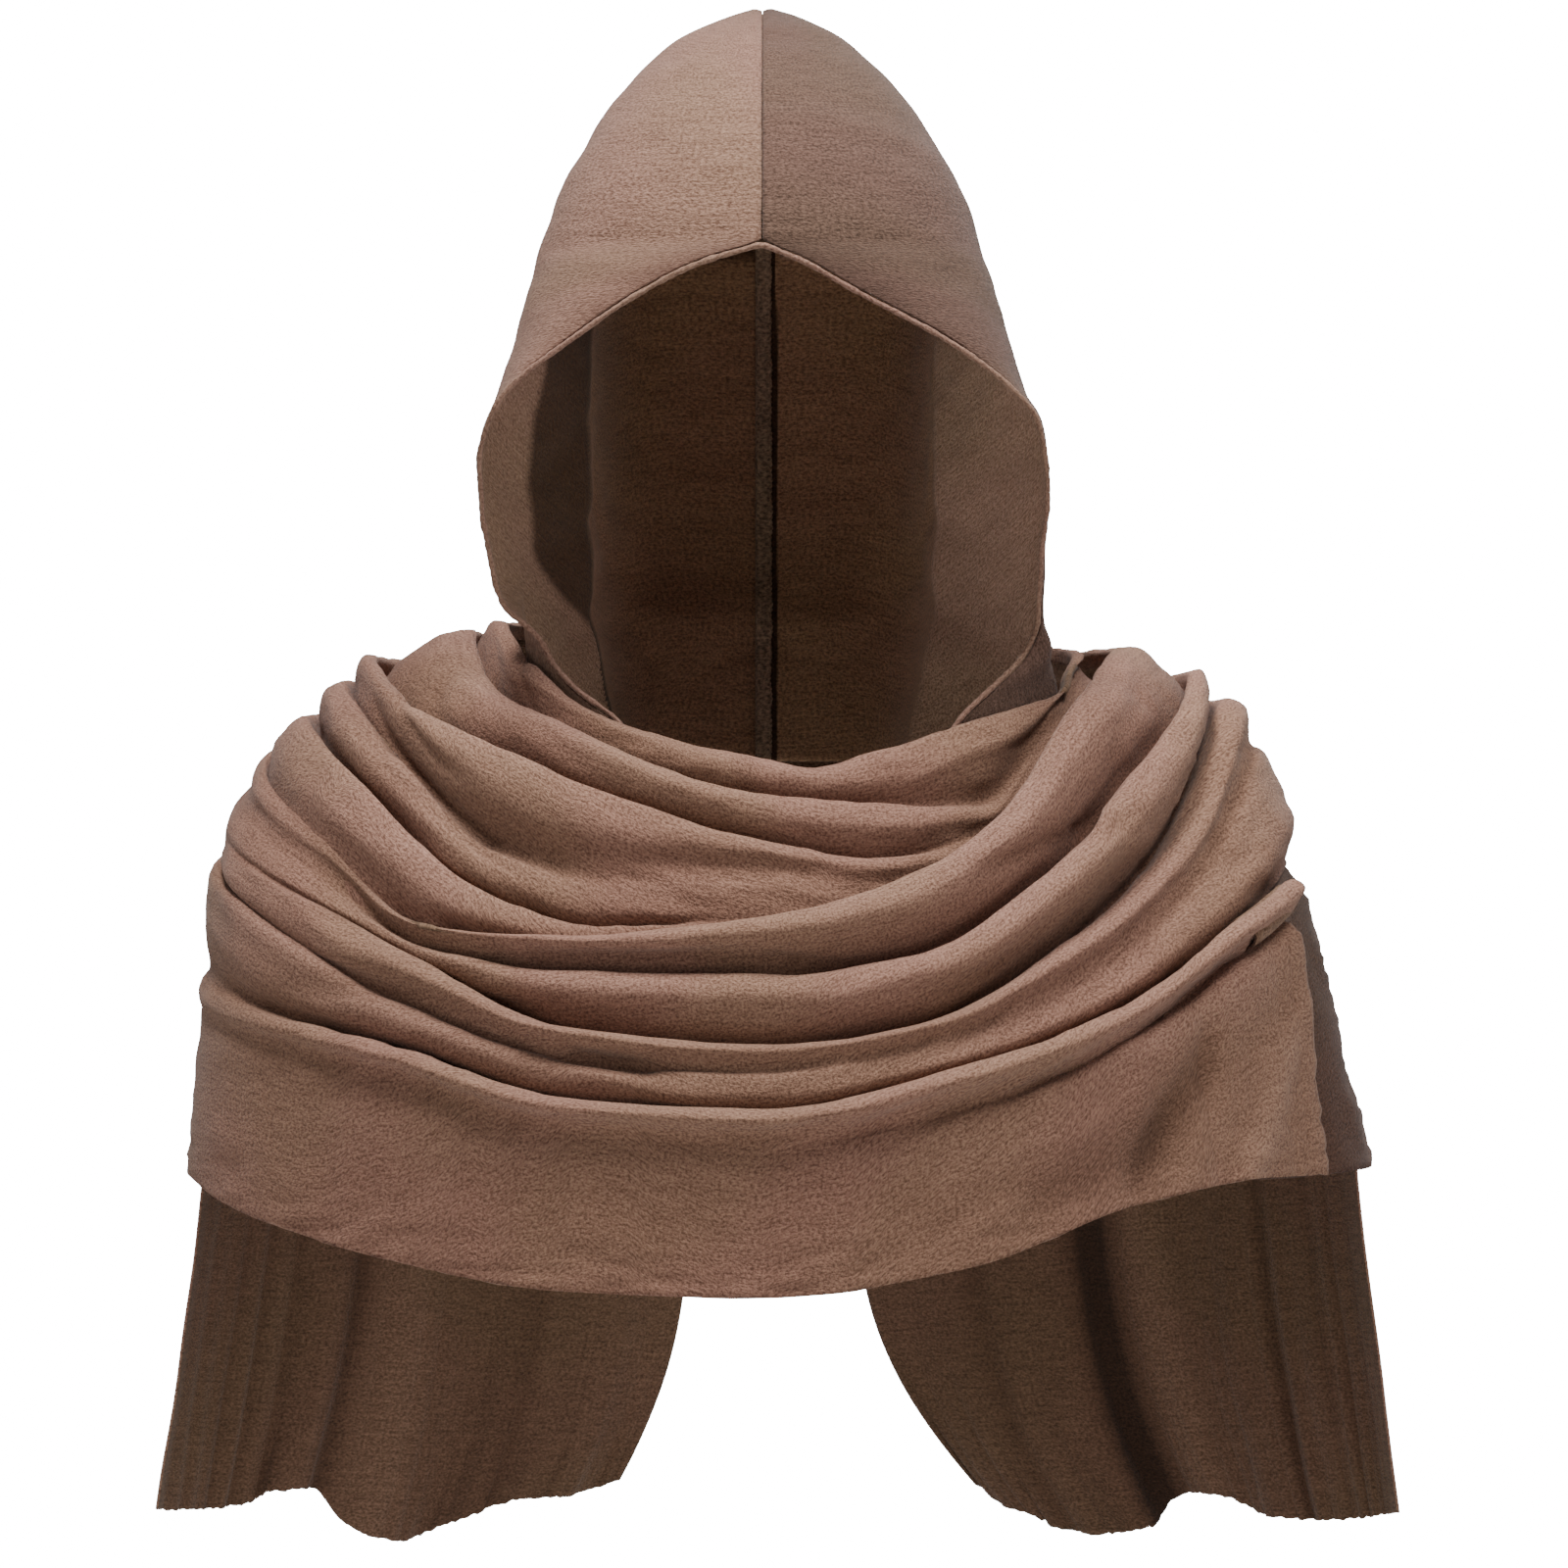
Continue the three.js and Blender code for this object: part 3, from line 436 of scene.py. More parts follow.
def hood_panel(side):
    """Level sections of one panel: a quarter oval from the front edge to the widest place, then
    a squarer quarter oval that narrows to the back corner and ends at the back seam. The fourth
    number of a point is 0 at the widest place and 1 where the side has drawn in."""
    row = np.linspace(len(HOOD_SECTIONS) - 1, 0, HOOD_ROWS)[:, None]
    knots = np.arange(len(HOOD_SECTIONS))
    column = {-1: (1, 3), 1: (2, 4)}[side]
    up, half, corner, edge, widest, back, rounding, turn = (
        curve_at(knots, HOOD_SECTIONS[:, k], row) for k in (0, column[0], 5, 6, 7, 8, 9, 10))
    below = curve_at(knots[:PEAK_ROW + 1], HOOD_SECTIONS[:PEAK_ROW + 1, column[1]], row)
    opened = np.where(row < PEAK_ROW, below, 0) * HOOD_HALF
    start = np.maximum(opened, SEAM_GAP / 2)
    half, corner = half * HOOD_HALF, corner * HOOD_HALF
    front_y, side_y, back_y = -HOOD_FRONT * edge, -HOOD_FRONT * widest, HOOD_BACK * back
    t = np.linspace(0, np.pi / 2, FRONT_POINTS)[None, :]
    front_x = start + (half - start) * np.sin(t) ** FRONT_SQUARENESS
    front = np.stack([front_x, lerp(front_y, side_y, 1 - np.cos(t))], -1)
    # The power crowds the points towards the widest place
    t = (np.linspace(0, 1, SIDE_POINTS)[None, :] ** 2.2) * np.pi / 2
    depth = np.sin(t) ** rounding
    drawn_in = lerp(half, corner, np.minimum(depth / turn, 1))
    width = np.maximum(np.cos(t), 0) ** rounding * drawn_in
    behind = np.stack([np.maximum(width, SEAM_GAP / 2), lerp(side_y, back_y, depth)], -1)
    outline = np.concatenate([front[:, :-1], behind], 1)
    height = np.broadcast_to((up * HOOD_RISE)[..., None], outline.shape[:2] + (1,))
    drawn = np.concatenate([0 * front[:, :-1, :1], (depth / turn)[..., None]], 1)
    sections = np.concatenate([outline * [side, 1], height, drawn], -1)
    grid = np.stack([resample(section, HOOD_COLUMNS) for section in sections])
    return grid if side > 0 else grid[:, ::-1]


# Soft dragged folds of each side's panel, along the depth and the height
HOOD_FOLDS = {
    -1: [(-100, 60, 60, 130, 10, 9, 1.6), (-40, 40, 100, 95, 14, 8, 1.8), (-100, 110, 40, 190, -8, 12, 1.2),
         (20, 150, 105, 90, -12, 10, 1.4)],
    1: [(-100, 75, 70, 120, 14, 9, 1.7), (-50, 45, 100, 100, 10, 9, 1.6), (-95, 130, 30, 200, -6, 12, 1.1),
        (10, 160, 105, 85, -14, 11, 1.5)],
}


def dressed_panel(side):
    """A panel with the groove and pucker of its seam, soft dragged folds behind, and fine unevenness."""
    sections = hood_panel(side)
    grid = inside_collar(sections[..., :3])
    normals = grid_normals(grid)
    x, y, z = np.moveaxis(grid, -1, 0)
    from_seam = np.abs(x)
    groove = -SEAM_GROOVE * np.exp(-(from_seam / 1.8) ** 2)
    along_seam = np.where(y < 0, z, z + HOOD_RISE)
    gathers = crinkle(along_seam, 0 * z, 9, 50, 11 + side) * np.exp(-from_seam / 9)
    slack = crinkle(y, z, 60, 34, 21 + side) * smoothstep(z, 60, 90) * 0.35
    behind = smoothstep(y, -70, -10)
    drag = pressed(y, z, HOOD_FOLDS[side]) * behind
    relief = groove + SEAM_PUCKER * gathers + slack + drag
    moved = grid + normals * relief[..., None]
    moved[..., 0] = side * np.maximum(side * moved[..., 0], SEAM_GAP / 2)
    return moved, sections[..., 3]


# The inside of the hood has painted light and shade: a facing of the face side along the opening, painted
# paler as light, and behind it painted shade, a deep olive brown band on the right panel and a slight shade
# on the back wall. The shades are read from 0 between the opening and the widest place, through 0.5 at the
# back corner, to 1 at the seam.
BACK_WALL_SHADE = "#f4ebda"
SEAM_SHADOW_EDGES = (7.5, 6)
right_inside_light_and_shade = crepe("right_inside_crepe_painted_light_and_shade", "#b0907c", "#705444", 0.9,
                     painted_shades=((0.2, "#ffffff"), (0.24, "#887b66"), (0.49, "#887b66"), (0.56, BACK_WALL_SHADE)))
left_inside_light_and_shade = crepe("left_inside_crepe_painted_light_and_shade", "#bc9c88", "#7a5d4c", 0.9,
                    painted_shades=((0.5, "#ffffff"), (0.54, BACK_WALL_SHADE), (0.92, BACK_WALL_SHADE), (0.98, "#6d6152")))
panels = {}
drawn_in = {}
for side in (-1, 1):
    panels[side], drawn_in[side] = dressed_panel(side)
# On the right panel the paler facing, painted light, widens towards the collar
lit_facing_widened = smoothstep(panels[-1][..., 2], 110, 60) * (drawn_in[-1] < 1)
inside_light_and_shade = {-1: drawn_in[-1] * (1 - 0.65 * lit_facing_widened) / 2, 1: np.minimum(drawn_in[1] / 2, 0.9)}
# Beside the seam the left panel has a painted shadow: a darker strip 6 mm wide
inside_light_and_shade[1] = lerp(inside_light_and_shade[1], 1, smoothstep(np.abs(panels[1][..., 0]), *SEAM_SHADOW_EDGES))
hood_right = cloth_piece("hood_right_cloth", panels[-1], "hood_right_panel", drawn=inside_light_and_shade[-1],
                         materials=(face_crepe, right_inside_light_and_shade))
hood_left = cloth_piece("hood_left_cloth", panels[1], "hood_left_panel", drawn=inside_light_and_shade[1],
                        materials=(shaded_left_face, left_inside_light_and_shade))

# The sewn allowance: both panels' raw edges overlocked together and pressed to one side,
# a narrow band under the seam from the peak over the crown and down to the nape.
SEAM_WIDTH = 7.5
SEAM_DROP = 1.1
SEAM_EDGES = (-0.45, 0.55)
SEAM_RINGS = 700
SEAM_SIDES = 12
OVERLOCK_STEP = 2.4


def tube_piece(name, rings, node, material):
    """A closed tube through rings of points in millimetres, its map in metres round and along."""
    count, sides = rings.shape[:2]
    points = in_frame(rings)
    i, k = np.meshgrid(np.arange(count - 1), np.arange(sides), indexing="ij")
    i, k = i.ravel(), k.ravel()
    beside = (k + 1) % sides
    faces = np.stack([i * sides + k, i * sides + beside, (i + 1) * sides + beside, (i + 1) * sides + k], -1)
    faces = faces.tolist()
    faces.append(list(range(sides))[::-1])
    faces.append([(count - 1) * sides + side for side in range(sides)])
    along = run_along(points[:, 0])
    girth = np.linalg.norm(points[0] - np.roll(points[0], 1, 0), axis=-1).mean()
    around = np.stack([k, k + 1, k + 1, k], -1) * girth
    length = np.stack([along[i], along[i], along[i + 1], along[i + 1]], -1)
    mesh = bpy.data.meshes.new(name)
    mesh.from_pydata(points.reshape(-1, 3).tolist(), [], faces)
    layer = mesh.uv_layers.new(name="cloth")
    sheet_uv = np.stack([length, around], -1).reshape(-1, 2)
    layer.data.foreach_set("uv", np.concatenate([sheet_uv, np.zeros((2 * sides, 2))]).ravel())
    mesh.polygons.foreach_set("use_smooth", np.array([True] * (len(faces) - 2) + [False] * 2))
    mesh.materials.append(material)
    dressed(name, mesh, node)


def seam_rings():
    """Rounded oblong sections along the inside of the seam, their outer edge scalloped by the stitches."""
    bare = inside_collar(hood_panel(1)[..., :3])
    peak = int(np.searchsorted(-np.linspace(len(HOOD_SECTIONS) - 1, 0, HOOD_ROWS), -PEAK_ROW))
    path = np.concatenate([bare[:peak + 1, 0][::-1], bare[:, -1]])
    path = resample(path, SEAM_RINGS)
    path[:, 0] = 0
    along = unit(np.gradient(path, axis=0))
    into = np.stack([0 * along[:, 0], along[:, 2], -along[:, 1]], -1)
    turn = np.linspace(0, 2 * np.pi, SEAM_SIDES, endpoint=False)
    length = run_along(path)
    stitch = 0.25 * np.sin(length / OVERLOCK_STEP * 2 * np.pi) + 0.3 * crinkle(length, 0 * length, 12, 12, 5)
    oblong = np.sign(np.cos(turn)) * np.abs(np.cos(turn)) ** 0.5
    middle = sum(SEAM_EDGES) / 2 * SEAM_WIDTH
    across = middle + oblong[None, :] * (SEAM_WIDTH / 2 + stitch[:, None] * (oblong > 0.5))
    deep = CLOTH + SEAM_DROP + CLOTH / 2 * (1 - np.sin(turn))
    rings = path[:, None] + into[:, None] * deep[None, :, None]
    rings[..., 0] = across
    return rings


# Raw edges under overlock thread, paler and duller than the cloth beside them
overlock = crepe("overlocked_edge", "#a38b77", "#5a493c", 0.8)
tube_piece("sewn_allowance", seam_rings(), "hood_centre_seam", overlock)

# The rolled hem: the cloth's edge rolled to a narrow cord round the face and slip-stitched,
# so that it catches the light and is drawn in a little at each stitch.
HEM_SIDES = 14
HEM_RINGS = 520
STITCH_STEP = 5.0
PEAK_LIFT = 1.2


def face_hem_rings():
    """Round sections carried along both panels' front edges, over the peak."""
    step = np.linspace(len(HOOD_SECTIONS) - 1, 0, HOOD_ROWS)
    first = int(np.argmax(step < PEAK_ROW))
    right, left = panels[-1][first:, -1], panels[1][first:, 0]
    peak = (right[0] + left[0]) / 2
    peak[2] += PEAK_LIFT
    edge = np.concatenate([right[::-1], [peak], left])
    normals_right = grid_normals(panels[-1])[first:, -2]
    normals_left = grid_normals(panels[1])[first:, 1]
    top = normals_right[0] + normals_left[0]
    normals = np.concatenate([normals_right[::-1], [top], normals_left])
    line = resample(edge - normals * CLOTH / 2, HEM_RINGS)
    normal = resample(normals, HEM_RINGS)
    along = unit(np.gradient(line, axis=0))
    level = unit(normal - along * np.sum(normal * along, -1, keepdims=True))
    away = np.cross(along, level)
    length = run_along(line)
    radius = HEM_ROLL / 2 * (0.86 + 0.07 * np.cos(length / STITCH_STEP * 2 * np.pi)
                             + 0.1 * crinkle(length, 0 * length, 18, 30, 8))
    turn = np.linspace(0, 2 * np.pi, HEM_SIDES, endpoint=False)
    centre = line + away * (HEM_ROLL / 2 + SEAM_GAP * 0.4)
    return (centre[:, None] + radius[:, None, None] * (
        away[:, None] * np.cos(turn)[None, :, None] - level[:, None] * np.sin(turn)[None, :, None]))


# The roll is the face of the cloth, stretched smoother and worn a little paler
hem_crepe = crepe("rolled_hem_crepe", "#a38374", "#6c5043", 0.8)
tube_piece("rolled_face_hem", face_hem_rings(), "face_hem", hem_crepe)

# The scarf's inner turn: it stands round the neck as a loose collar and falls in cowl folds
# on the breast. Each fold has a crease tucked behind its lip, and a swell below the lip.
SHOULDER_HALF = 250
CHEST_REACH = 150
BACK_REACH = 132
BODY_CENTRE = 5
FOLD_BULGE = 6
FALL_SHARE = 0.1
# Out gives the shares of the way from the collar to the shoulders on the wearer's right and
# left, in front and behind, and height and strength are charted at the stations
NECK_FOLDS = [
    dict(out=(0, 0, 0, 0), height=COLLAR_HEIGHT, collar=True,
         strength=[0.4, 0.5, 0.6, 0.6, 0.6, 0.6, 0.6, 0.6, 0.6, 0.5, 0.4]),
    dict(out=(0.1, 0.02, 0.2, 0.05),
         height=[0.3, 0.335, 0.19, 0.123, 0.033, -0.026, -0.044, -0.053, 0.16, 0.262, 0.3],
         strength=[0.2, 0.6, 0.9, 0.9, 0.8, 0.7, 0.5, 0.3, 0, 0, 0.2]),
    dict(out=(0.42, 0.03, 0.33, 0.1),
         height=[0.24, 0.275, 0.16, 0.07, -0.04, -0.124, -0.168, -0.12, 0.13, 0.24, 0.24],
         strength=[0.1, 0.9, 1, 1, 0.8, 0.7, 0.5, 0, 0, 0, 0.1]),
    dict(out=(0.52, 0.05, 0.46, 0.13),
         height=[0.2, 0.225, 0.06, -0.14, -0.235, -0.225, -0.245, -0.15, 0.105, 0.22, 0.2],
         strength=[0, 0.6, 0.6, 0.45, 0.1, 0, 0, 0, 0, 0, 0]),
    dict(out=(0.65, 0.06, 0.545, 0.16),
         height=[0.16, 0.147, -0.01, -0.225, -0.317, -0.315, -0.27, -0.18, 0.08, 0.2, 0.16],
         strength=[0, 0.9, 1, 1, 0.5, 0, 0, 0, 0, 0, 0]),
    dict(out=(0.86, 0.07, 0.555, 0.19),
         height=[0.1, -0.06, -0.225, -0.39, -0.425, -0.385, -0.32, -0.215, 0.05, 0.18, 0.1],
         strength=[0] * 11),
]


def fold_line(fold, angle):
    """A fold's line before it is folded: a rounded oval in plan at the charted heights."""
    u = half_turns(angle)
    sine, cosine = np.sin(np.radians(u)), np.cos(np.radians(u))
    right, left, front, back = fold["out"]
    side = np.where(u < 0, lerp(COLLAR_RIGHT, SHOULDER_HALF, right), lerp(COLLAR_LEFT, SHOULDER_HALF, left))
    reach = np.where(cosine > 0, -lerp(COLLAR_FRONT, CHEST_REACH, front), lerp(COLLAR_BACK, BACK_REACH, back))
    z = curve_at(STATIONS, fold["height"], u) * WRAP_DROP
    if "collar" in fold:
        z = collar_height(u)
    y = BODY_CENTRE * np.abs(sine) + reach * np.abs(cosine) ** ROUNDNESS
    return np.stack([side * sine, y, z], -1)


def fold_rings(folds, angle, fullness):
    """Four rings a fold at each angle: the tucked crease, the lip, the swell and the fall."""
    u = half_turns(angle)
    plan = outwards(u)
    lines = [fold_line(fold, angle) for fold in folds]
    rings = []
    for k, fold in enumerate(folds):
        here, above, below = lines[k], lines[max(k - 1, 0)], lines[min(k + 1, len(folds) - 1)]
        down = unit(below - above)
        out = -plan * down[:, 2:]
        out[:, 2] = np.sum(down * plan, -1)
        out = unit(out)
        s = curve_at(STATIONS, fold["strength"], u)[:, None]
        tuck, bulge = FOLD_TUCK * fullness, FOLD_BULGE * fullness
        crease = lerp(lerp(above, here, 0.88), here + down * FOLD_TUCK * 0.6 * s, s) - out * tuck * s
        if k == 0:
            crease = here + down * FOLD_TUCK * 0.7 - out * FOLD_TUCK * 0.5
        rings += [crease, here + out * bulge * 0.2 * s]
        if k < len(folds) - 1:
            rings.append(lerp(here, below, 0.3) + out * bulge * s)
            rings.append(lerp(here, below, 0.67) + out * bulge * FALL_SHARE * s)
    return np.stack(rings)


def smooth_rings(rings, steps):
    """Rings joined by Hermite arcs whose slopes weigh the chords either side by their lengths."""
    chord = np.diff(rings, axis=0)
    length = np.maximum(np.linalg.norm(chord, axis=-1, keepdims=True), 1e-6)
    heading = chord / length
    middle = (length[1:] * heading[:-1] + length[:-1] * heading[1:]) / (length[1:] + length[:-1])
    slope = np.concatenate([heading[:1], middle, heading[-1:]])
    parts = []
    for k in range(len(chord)):
        for t in np.arange(steps[k % 4]) / steps[k % 4]:
            parts.append((1 + 2 * t) * (1 - t) ** 2 * rings[k] + t * (1 - t) ** 2 * length[k] * slope[k]
                         + t * t * (3 - 2 * t) * rings[k + 1] + t * t * (t - 1) * length[k] * slope[k + 1])
    parts.append(rings[-1])
    return np.stack(parts)


# The folds have painted light and shade: the lips painted paler as highlight, the creases darker as shade.
# The ramp is read from 0 in the deepest shade, through 0.6 where the cloth is smooth, to 1 on a lip. A degree
# of a turn is taken as 3.2 mm of cloth.
PAINTED_SHADE_RAMP = ((0.0, "#867d76"), (0.2, "#b7aea7"), (0.6, "#dcd6d2"), (1.0, "#ffffff"))
shaded_turn_crepe = crepe("crepe_folds_painted_shade", "#ba9583", "#735345", painted_shades=PAINTED_SHADE_RAMP)
SMOOTH_SHADE = 0.6
SHADE_PER_MM = 0.06
RING_STEPS = (5, 5, 6, 6)
TURN_STEP = 1.5
DEGREE = 3.2
LEAN_HEIGHT = 26
NECK_FULLNESS = 1.3
turn_angles = np.arange(-150, 210, TURN_STEP)


def painted_fold_shade(folds, angles, count):
    """Painted light and shade along a turn: low, darker, in a full fold's crease and high, paler, on its lip.
    """
    u = half_turns(angles)
    strength = np.stack([curve_at(STATIONS, fold["strength"], u) for fold in folds])
    place = np.arange(count) / sum(RING_STEPS)
    k = np.minimum(place.astype(int), len(folds) - 1)
    t = place - k
    full = lerp(strength[k], strength[np.minimum(k + 1, len(folds) - 1)], t[:, None])
    painted_profile = np.interp(t, (0, 0.23, 0.46, 0.73, 1), (0, 1, 0.85, 0.4, 0))
    return SMOOTH_SHADE + (painted_profile[:, None] - 0.5) * 0.8 * full


# Smaller creases and ridges of the inner turn, along the angle and the height
NECK_CREASES = [
    (-76, 46, -28, -50, -4, 3.5, -2.4), (-66, 70, -50, 32, 0, 3, -1.8),
    (-72, 58, -42, -2, -5, 3.0, -1.6), (-84, 46, -40, -26, -4, 7, 1.6), (-60, 20, -10, -34, -6, 6, 1.2),
    (-35, 20, 30, -2, -4, 5, 1.2), (-10, -12, 35, -18, -3, 4, 1.4), (20, -5, 55, 26, 4, 4, 1.6),
    (-30, -34, 18, -46, -5, 6, 1.2), (30, 10, 66, 36, -5, 3.5, -1.3), (-66, -4, -30, -50, -4, 5, 1.3),
]


def dress_turn(folds, angles, creases, seed, fullness):
    """A turn with its smaller creases and a fine slackness that runs along the folds, and its painted light
    and shade."""
    grid = smooth_rings(fold_rings(folds, angles, fullness), RING_STEPS)
    normals = grid_normals(grid, closed=True)
    u = np.broadcast_to(angles, grid.shape[:2])
    length = run_along(grid)
    ring_angle = half_turns(u)
    slack = (crinkle(ring_angle * DEGREE, length, 110, 24, seed) * 0.5
             + crinkle(ring_angle * DEGREE, length, 26, 12, seed + 1) * 0.22)
    # The slackness closes on itself behind, where the two ends of the angle meet
    slack = slack * (1 - smoothstep(np.abs(ring_angle), 160, 180))
    creased = pressed(ring_angle, grid[..., 2], creases)
    # Painted shade: pressed creases darker, pressed ridges paler
    painted_shade = np.clip(painted_fold_shade(folds, angles, len(grid)) + SHADE_PER_MM * creased, 0, 1)
    return grid + normals * (creased + slack)[..., None], painted_shade


def lean_in(grid, angles, leans):
    """A turn whose top edge leans in towards the neck: each lean is (from, to, depth) round it,
    full at the edge and gone LEAN_HEIGHT below it."""
    u = half_turns(angles)
    plan = outwards(u)
    below = grid[RING_STEPS[0], :, 2] - grid[..., 2]
    amount = sum(depth * smoothstep(u, first, first + 18) * (1 - smoothstep(u, last - 18, last))
                 for first, last, depth in leans)
    return grid - plan * (amount * (1 - smoothstep(below, 2, LEAN_HEIGHT)))[..., None]


# The inner turn and its painted fold shade
neck_grid, neck_shade = dress_turn(NECK_FOLDS, turn_angles, NECK_CREASES, 31, NECK_FULLNESS)
neck_grid = lean_in(neck_grid, turn_angles, ((-118, -56, 5), (58, 128, 10)))
neck_turn = cloth_piece("inner_turn_cloth", neck_grid, "neck_wrap", closed=True,
                        drawn=neck_shade, materials=(shaded_turn_crepe, reverse_crepe))

# The outer turn: it crosses from the right breast up over the left shoulder and round the
# back. Below its deep fold the front hangs as a skirt that ends in a free edge at the left.
CHEST_FOLDS = [
    dict(out=(0.88, 0.12, 0.61, 0.55),
         height=[0.26, 0.04, -0.128, -0.317, -0.342, -0.296, -0.223, -0.076, 0.185, 0.292, 0.26],
         strength=[0.4, 0.5, 0.5, 0.7, 1, 1, 1, 1, 0.9, 0.6, 0.4]),
    dict(out=(0.92, 0.47, 0.72, 0.66),
         height=[0.16, -0.05, -0.2, -0.36, -0.415, -0.423, -0.383, -0.201, 0.053, 0.245, 0.16],
         strength=[0.2, 0, 0.05, 0.2, 0.45, 0.45, 0.8, 1, 1, 0.7, 0.2]),
    dict(out=(0.94, 0.56, 0.83, 0.74),
         height=[0.08, -0.115, -0.245, -0.385, -0.542, -0.579, -0.533, -0.365, -0.156, 0.188, 0.08],
         strength=[0.3, 0, 0.2, 0.7, 1, 0.6, 0.7, 0.9, 0.9, 0.7, 0.3]),
    dict(out=(0.965, 0.74, 0.93, 0.84),
         height=[-0.02, -0.185, -0.351, -0.5, -0.618, -0.645, -0.585, -0.44, -0.235, 0.08, -0.02],
         strength=[0.2, 0.3, 0.3, 0.3, 0.2, 0.05, 0, 0, 0, 0.1, 0.2]),
    dict(out=(1.015, 0.965, 0.98, 0.92),
         height=[-0.26, -0.44, -0.518, -0.585, -0.697, -0.72, -0.635, -0.499, -0.302, -0.15, -0.26],
         strength=[0.4, 0.15, 0.4, 0.8, 1, 1, 1, 0.9, 0.9, 0.8, 0.4]),
    dict(out=(1.025, 0.955, 1, 0.95),
         height=[-0.38, -0.53, -0.6, -0.676, -0.785, -0.814, -0.74, -0.6, -0.4, -0.27, -0.38],
         strength=[0, 0, 0, 0, 0, 0, 0.1, 0.3, 0.35, 0.2, 0]),
    dict(out=(1.07, 1.12, 1.03, 1),
         height=[-0.92, -0.875, -0.973, -1.058, -1.125, -1.139, -1.076, -0.934, -0.878, -0.872, -0.92],
         strength=[0] * 11),
]
FREE_EDGE = 72.5
EDGE_LIFT = 4.5
CHEST_FULLNESS = 1.7
BACK_EDGE = -150
DEEP_FOLD = 4
SCARF_JOIN = -9
JOIN_TOP = -182
JOIN_HALF = 1.3
JOIN_DEPTH = 0.7
# Smaller creases and ridges of the outer turn, and the broad valleys of the skirt
CHEST_CREASES = [
    (-34, -79, 16, -81, 3, 3.5, -2.6), (-22, -118, -10, -127, 0, 4, -2.6), (28, -42, 56, -12, 0, 4, -2.6),
    (37, -186, 55, -108, 0, 14, -6.0), (52, -190, 70, -110, 0, 14, 3.5), (34, -128, 68, -56, -8, 3, 1.2),
    (24, -196, 50, -138, 0, 16, -4.0),
    (-88, -20, -42, -84, -10, 9, 2.0), (-86, -46, -40, -98, -8, 8, -1.6), (-80, -60, -30, -112, -6, 8, 1.2),
    (-50, -86, -8, -100, -5, 5, -1.4), (-26, -88, 22, -92, -3, 6, 1.4), (30, -128, 76, -40, -16, 6, 1.8),
    (40, -140, 80, -52, -18, 8, -1.5), (48, -30, 78, 30, -14, 5, 1.4), (15, -96, 62, -20, -12, 5, -1.2),
    (-60, -140, 10, -176, -6, 12, 1.1), (0, -170, 60, -140, -6, 12, 1.0),
]

chest_angles = np.unique(np.append(turn_angles, FREE_EDGE))
crease_row = sum(RING_STEPS) * DEEP_FOLD
free_column = int(np.searchsorted(chest_angles, FREE_EDGE))


def below_crease(grid, first, last):
    """0 down to the first row past the deep fold's crease and 1 from the last."""
    return smoothstep(np.arange(len(grid)), crease_row + first, crease_row + last)[:, None]


def chest_wrinkles(grid):
    """Fine relief of the front: level wrinkles in the hanging skirt, the groove of the narrow
    seam that joins two lengths of the scarf, and upright wrinkles across the folds at the left."""
    x, y, z = np.moveaxis(grid, -1, 0)
    level = crinkle(x, z, 80, 7, 43) * 0.55 * below_crease(grid, 20, 50)
    joined = smoothstep(z, JOIN_TOP, JOIN_TOP - 6)
    groove = JOIN_DEPTH * joined * np.exp(-((x - SCARF_JOIN) / JOIN_HALF) ** 2)
    upright = crinkle(x + z, z, 9, 60, 44) * 0.3 * smoothstep(x, 90, 170)
    return (level - groove + upright) * (y < 0)


# The outer turn and its painted fold shade
chest_grid, chest_shade = dress_turn(CHEST_FOLDS, chest_angles, CHEST_CREASES, 41, CHEST_FULLNESS)
chest_grid = lean_in(chest_grid, chest_angles, ((-140, -36, 11), (58, 124, 6)))
chest_grid = chest_grid + grid_normals(chest_grid, closed=True) * chest_wrinkles(chest_grid)[..., None]
# The free edge of the skirt stands a little off the layer behind it
towards_edge = smoothstep(chest_angles, FREE_EDGE - 7, FREE_EDGE) * (chest_angles <= FREE_EDGE)
lift = EDGE_LIFT * below_crease(chest_grid, 10, 34) * towards_edge
chest_grid = chest_grid + grid_normals(chest_grid, closed=True) * lift[..., None]
chest_turn = cloth_piece(
    "outer_turn_cloth", chest_grid, "chest_wrap", closed=True,
    drawn=chest_shade, materials=(shaded_turn_crepe, reverse_crepe),
    keep=lambda i, j: (i < crease_row) | (j < free_column))

# The back layer: it comes out from under the outer turn past the free edge, hangs round the
# back, and ends tucked inside the outer turn again.
DRAPE_START = 60
DRAPE_END = 225
DRAPE_FLARE = 13
DRAPE_BELLY = 16
RIM_FALL = 5
EDGE_SINK = 8.5
DRAPE_STEPS = (6, 5, 5, 6)
DRAPE_DEGREE = 4.2
drape_angles = np.arange(DRAPE_START, DRAPE_END + 0.1, TURN_STEP)


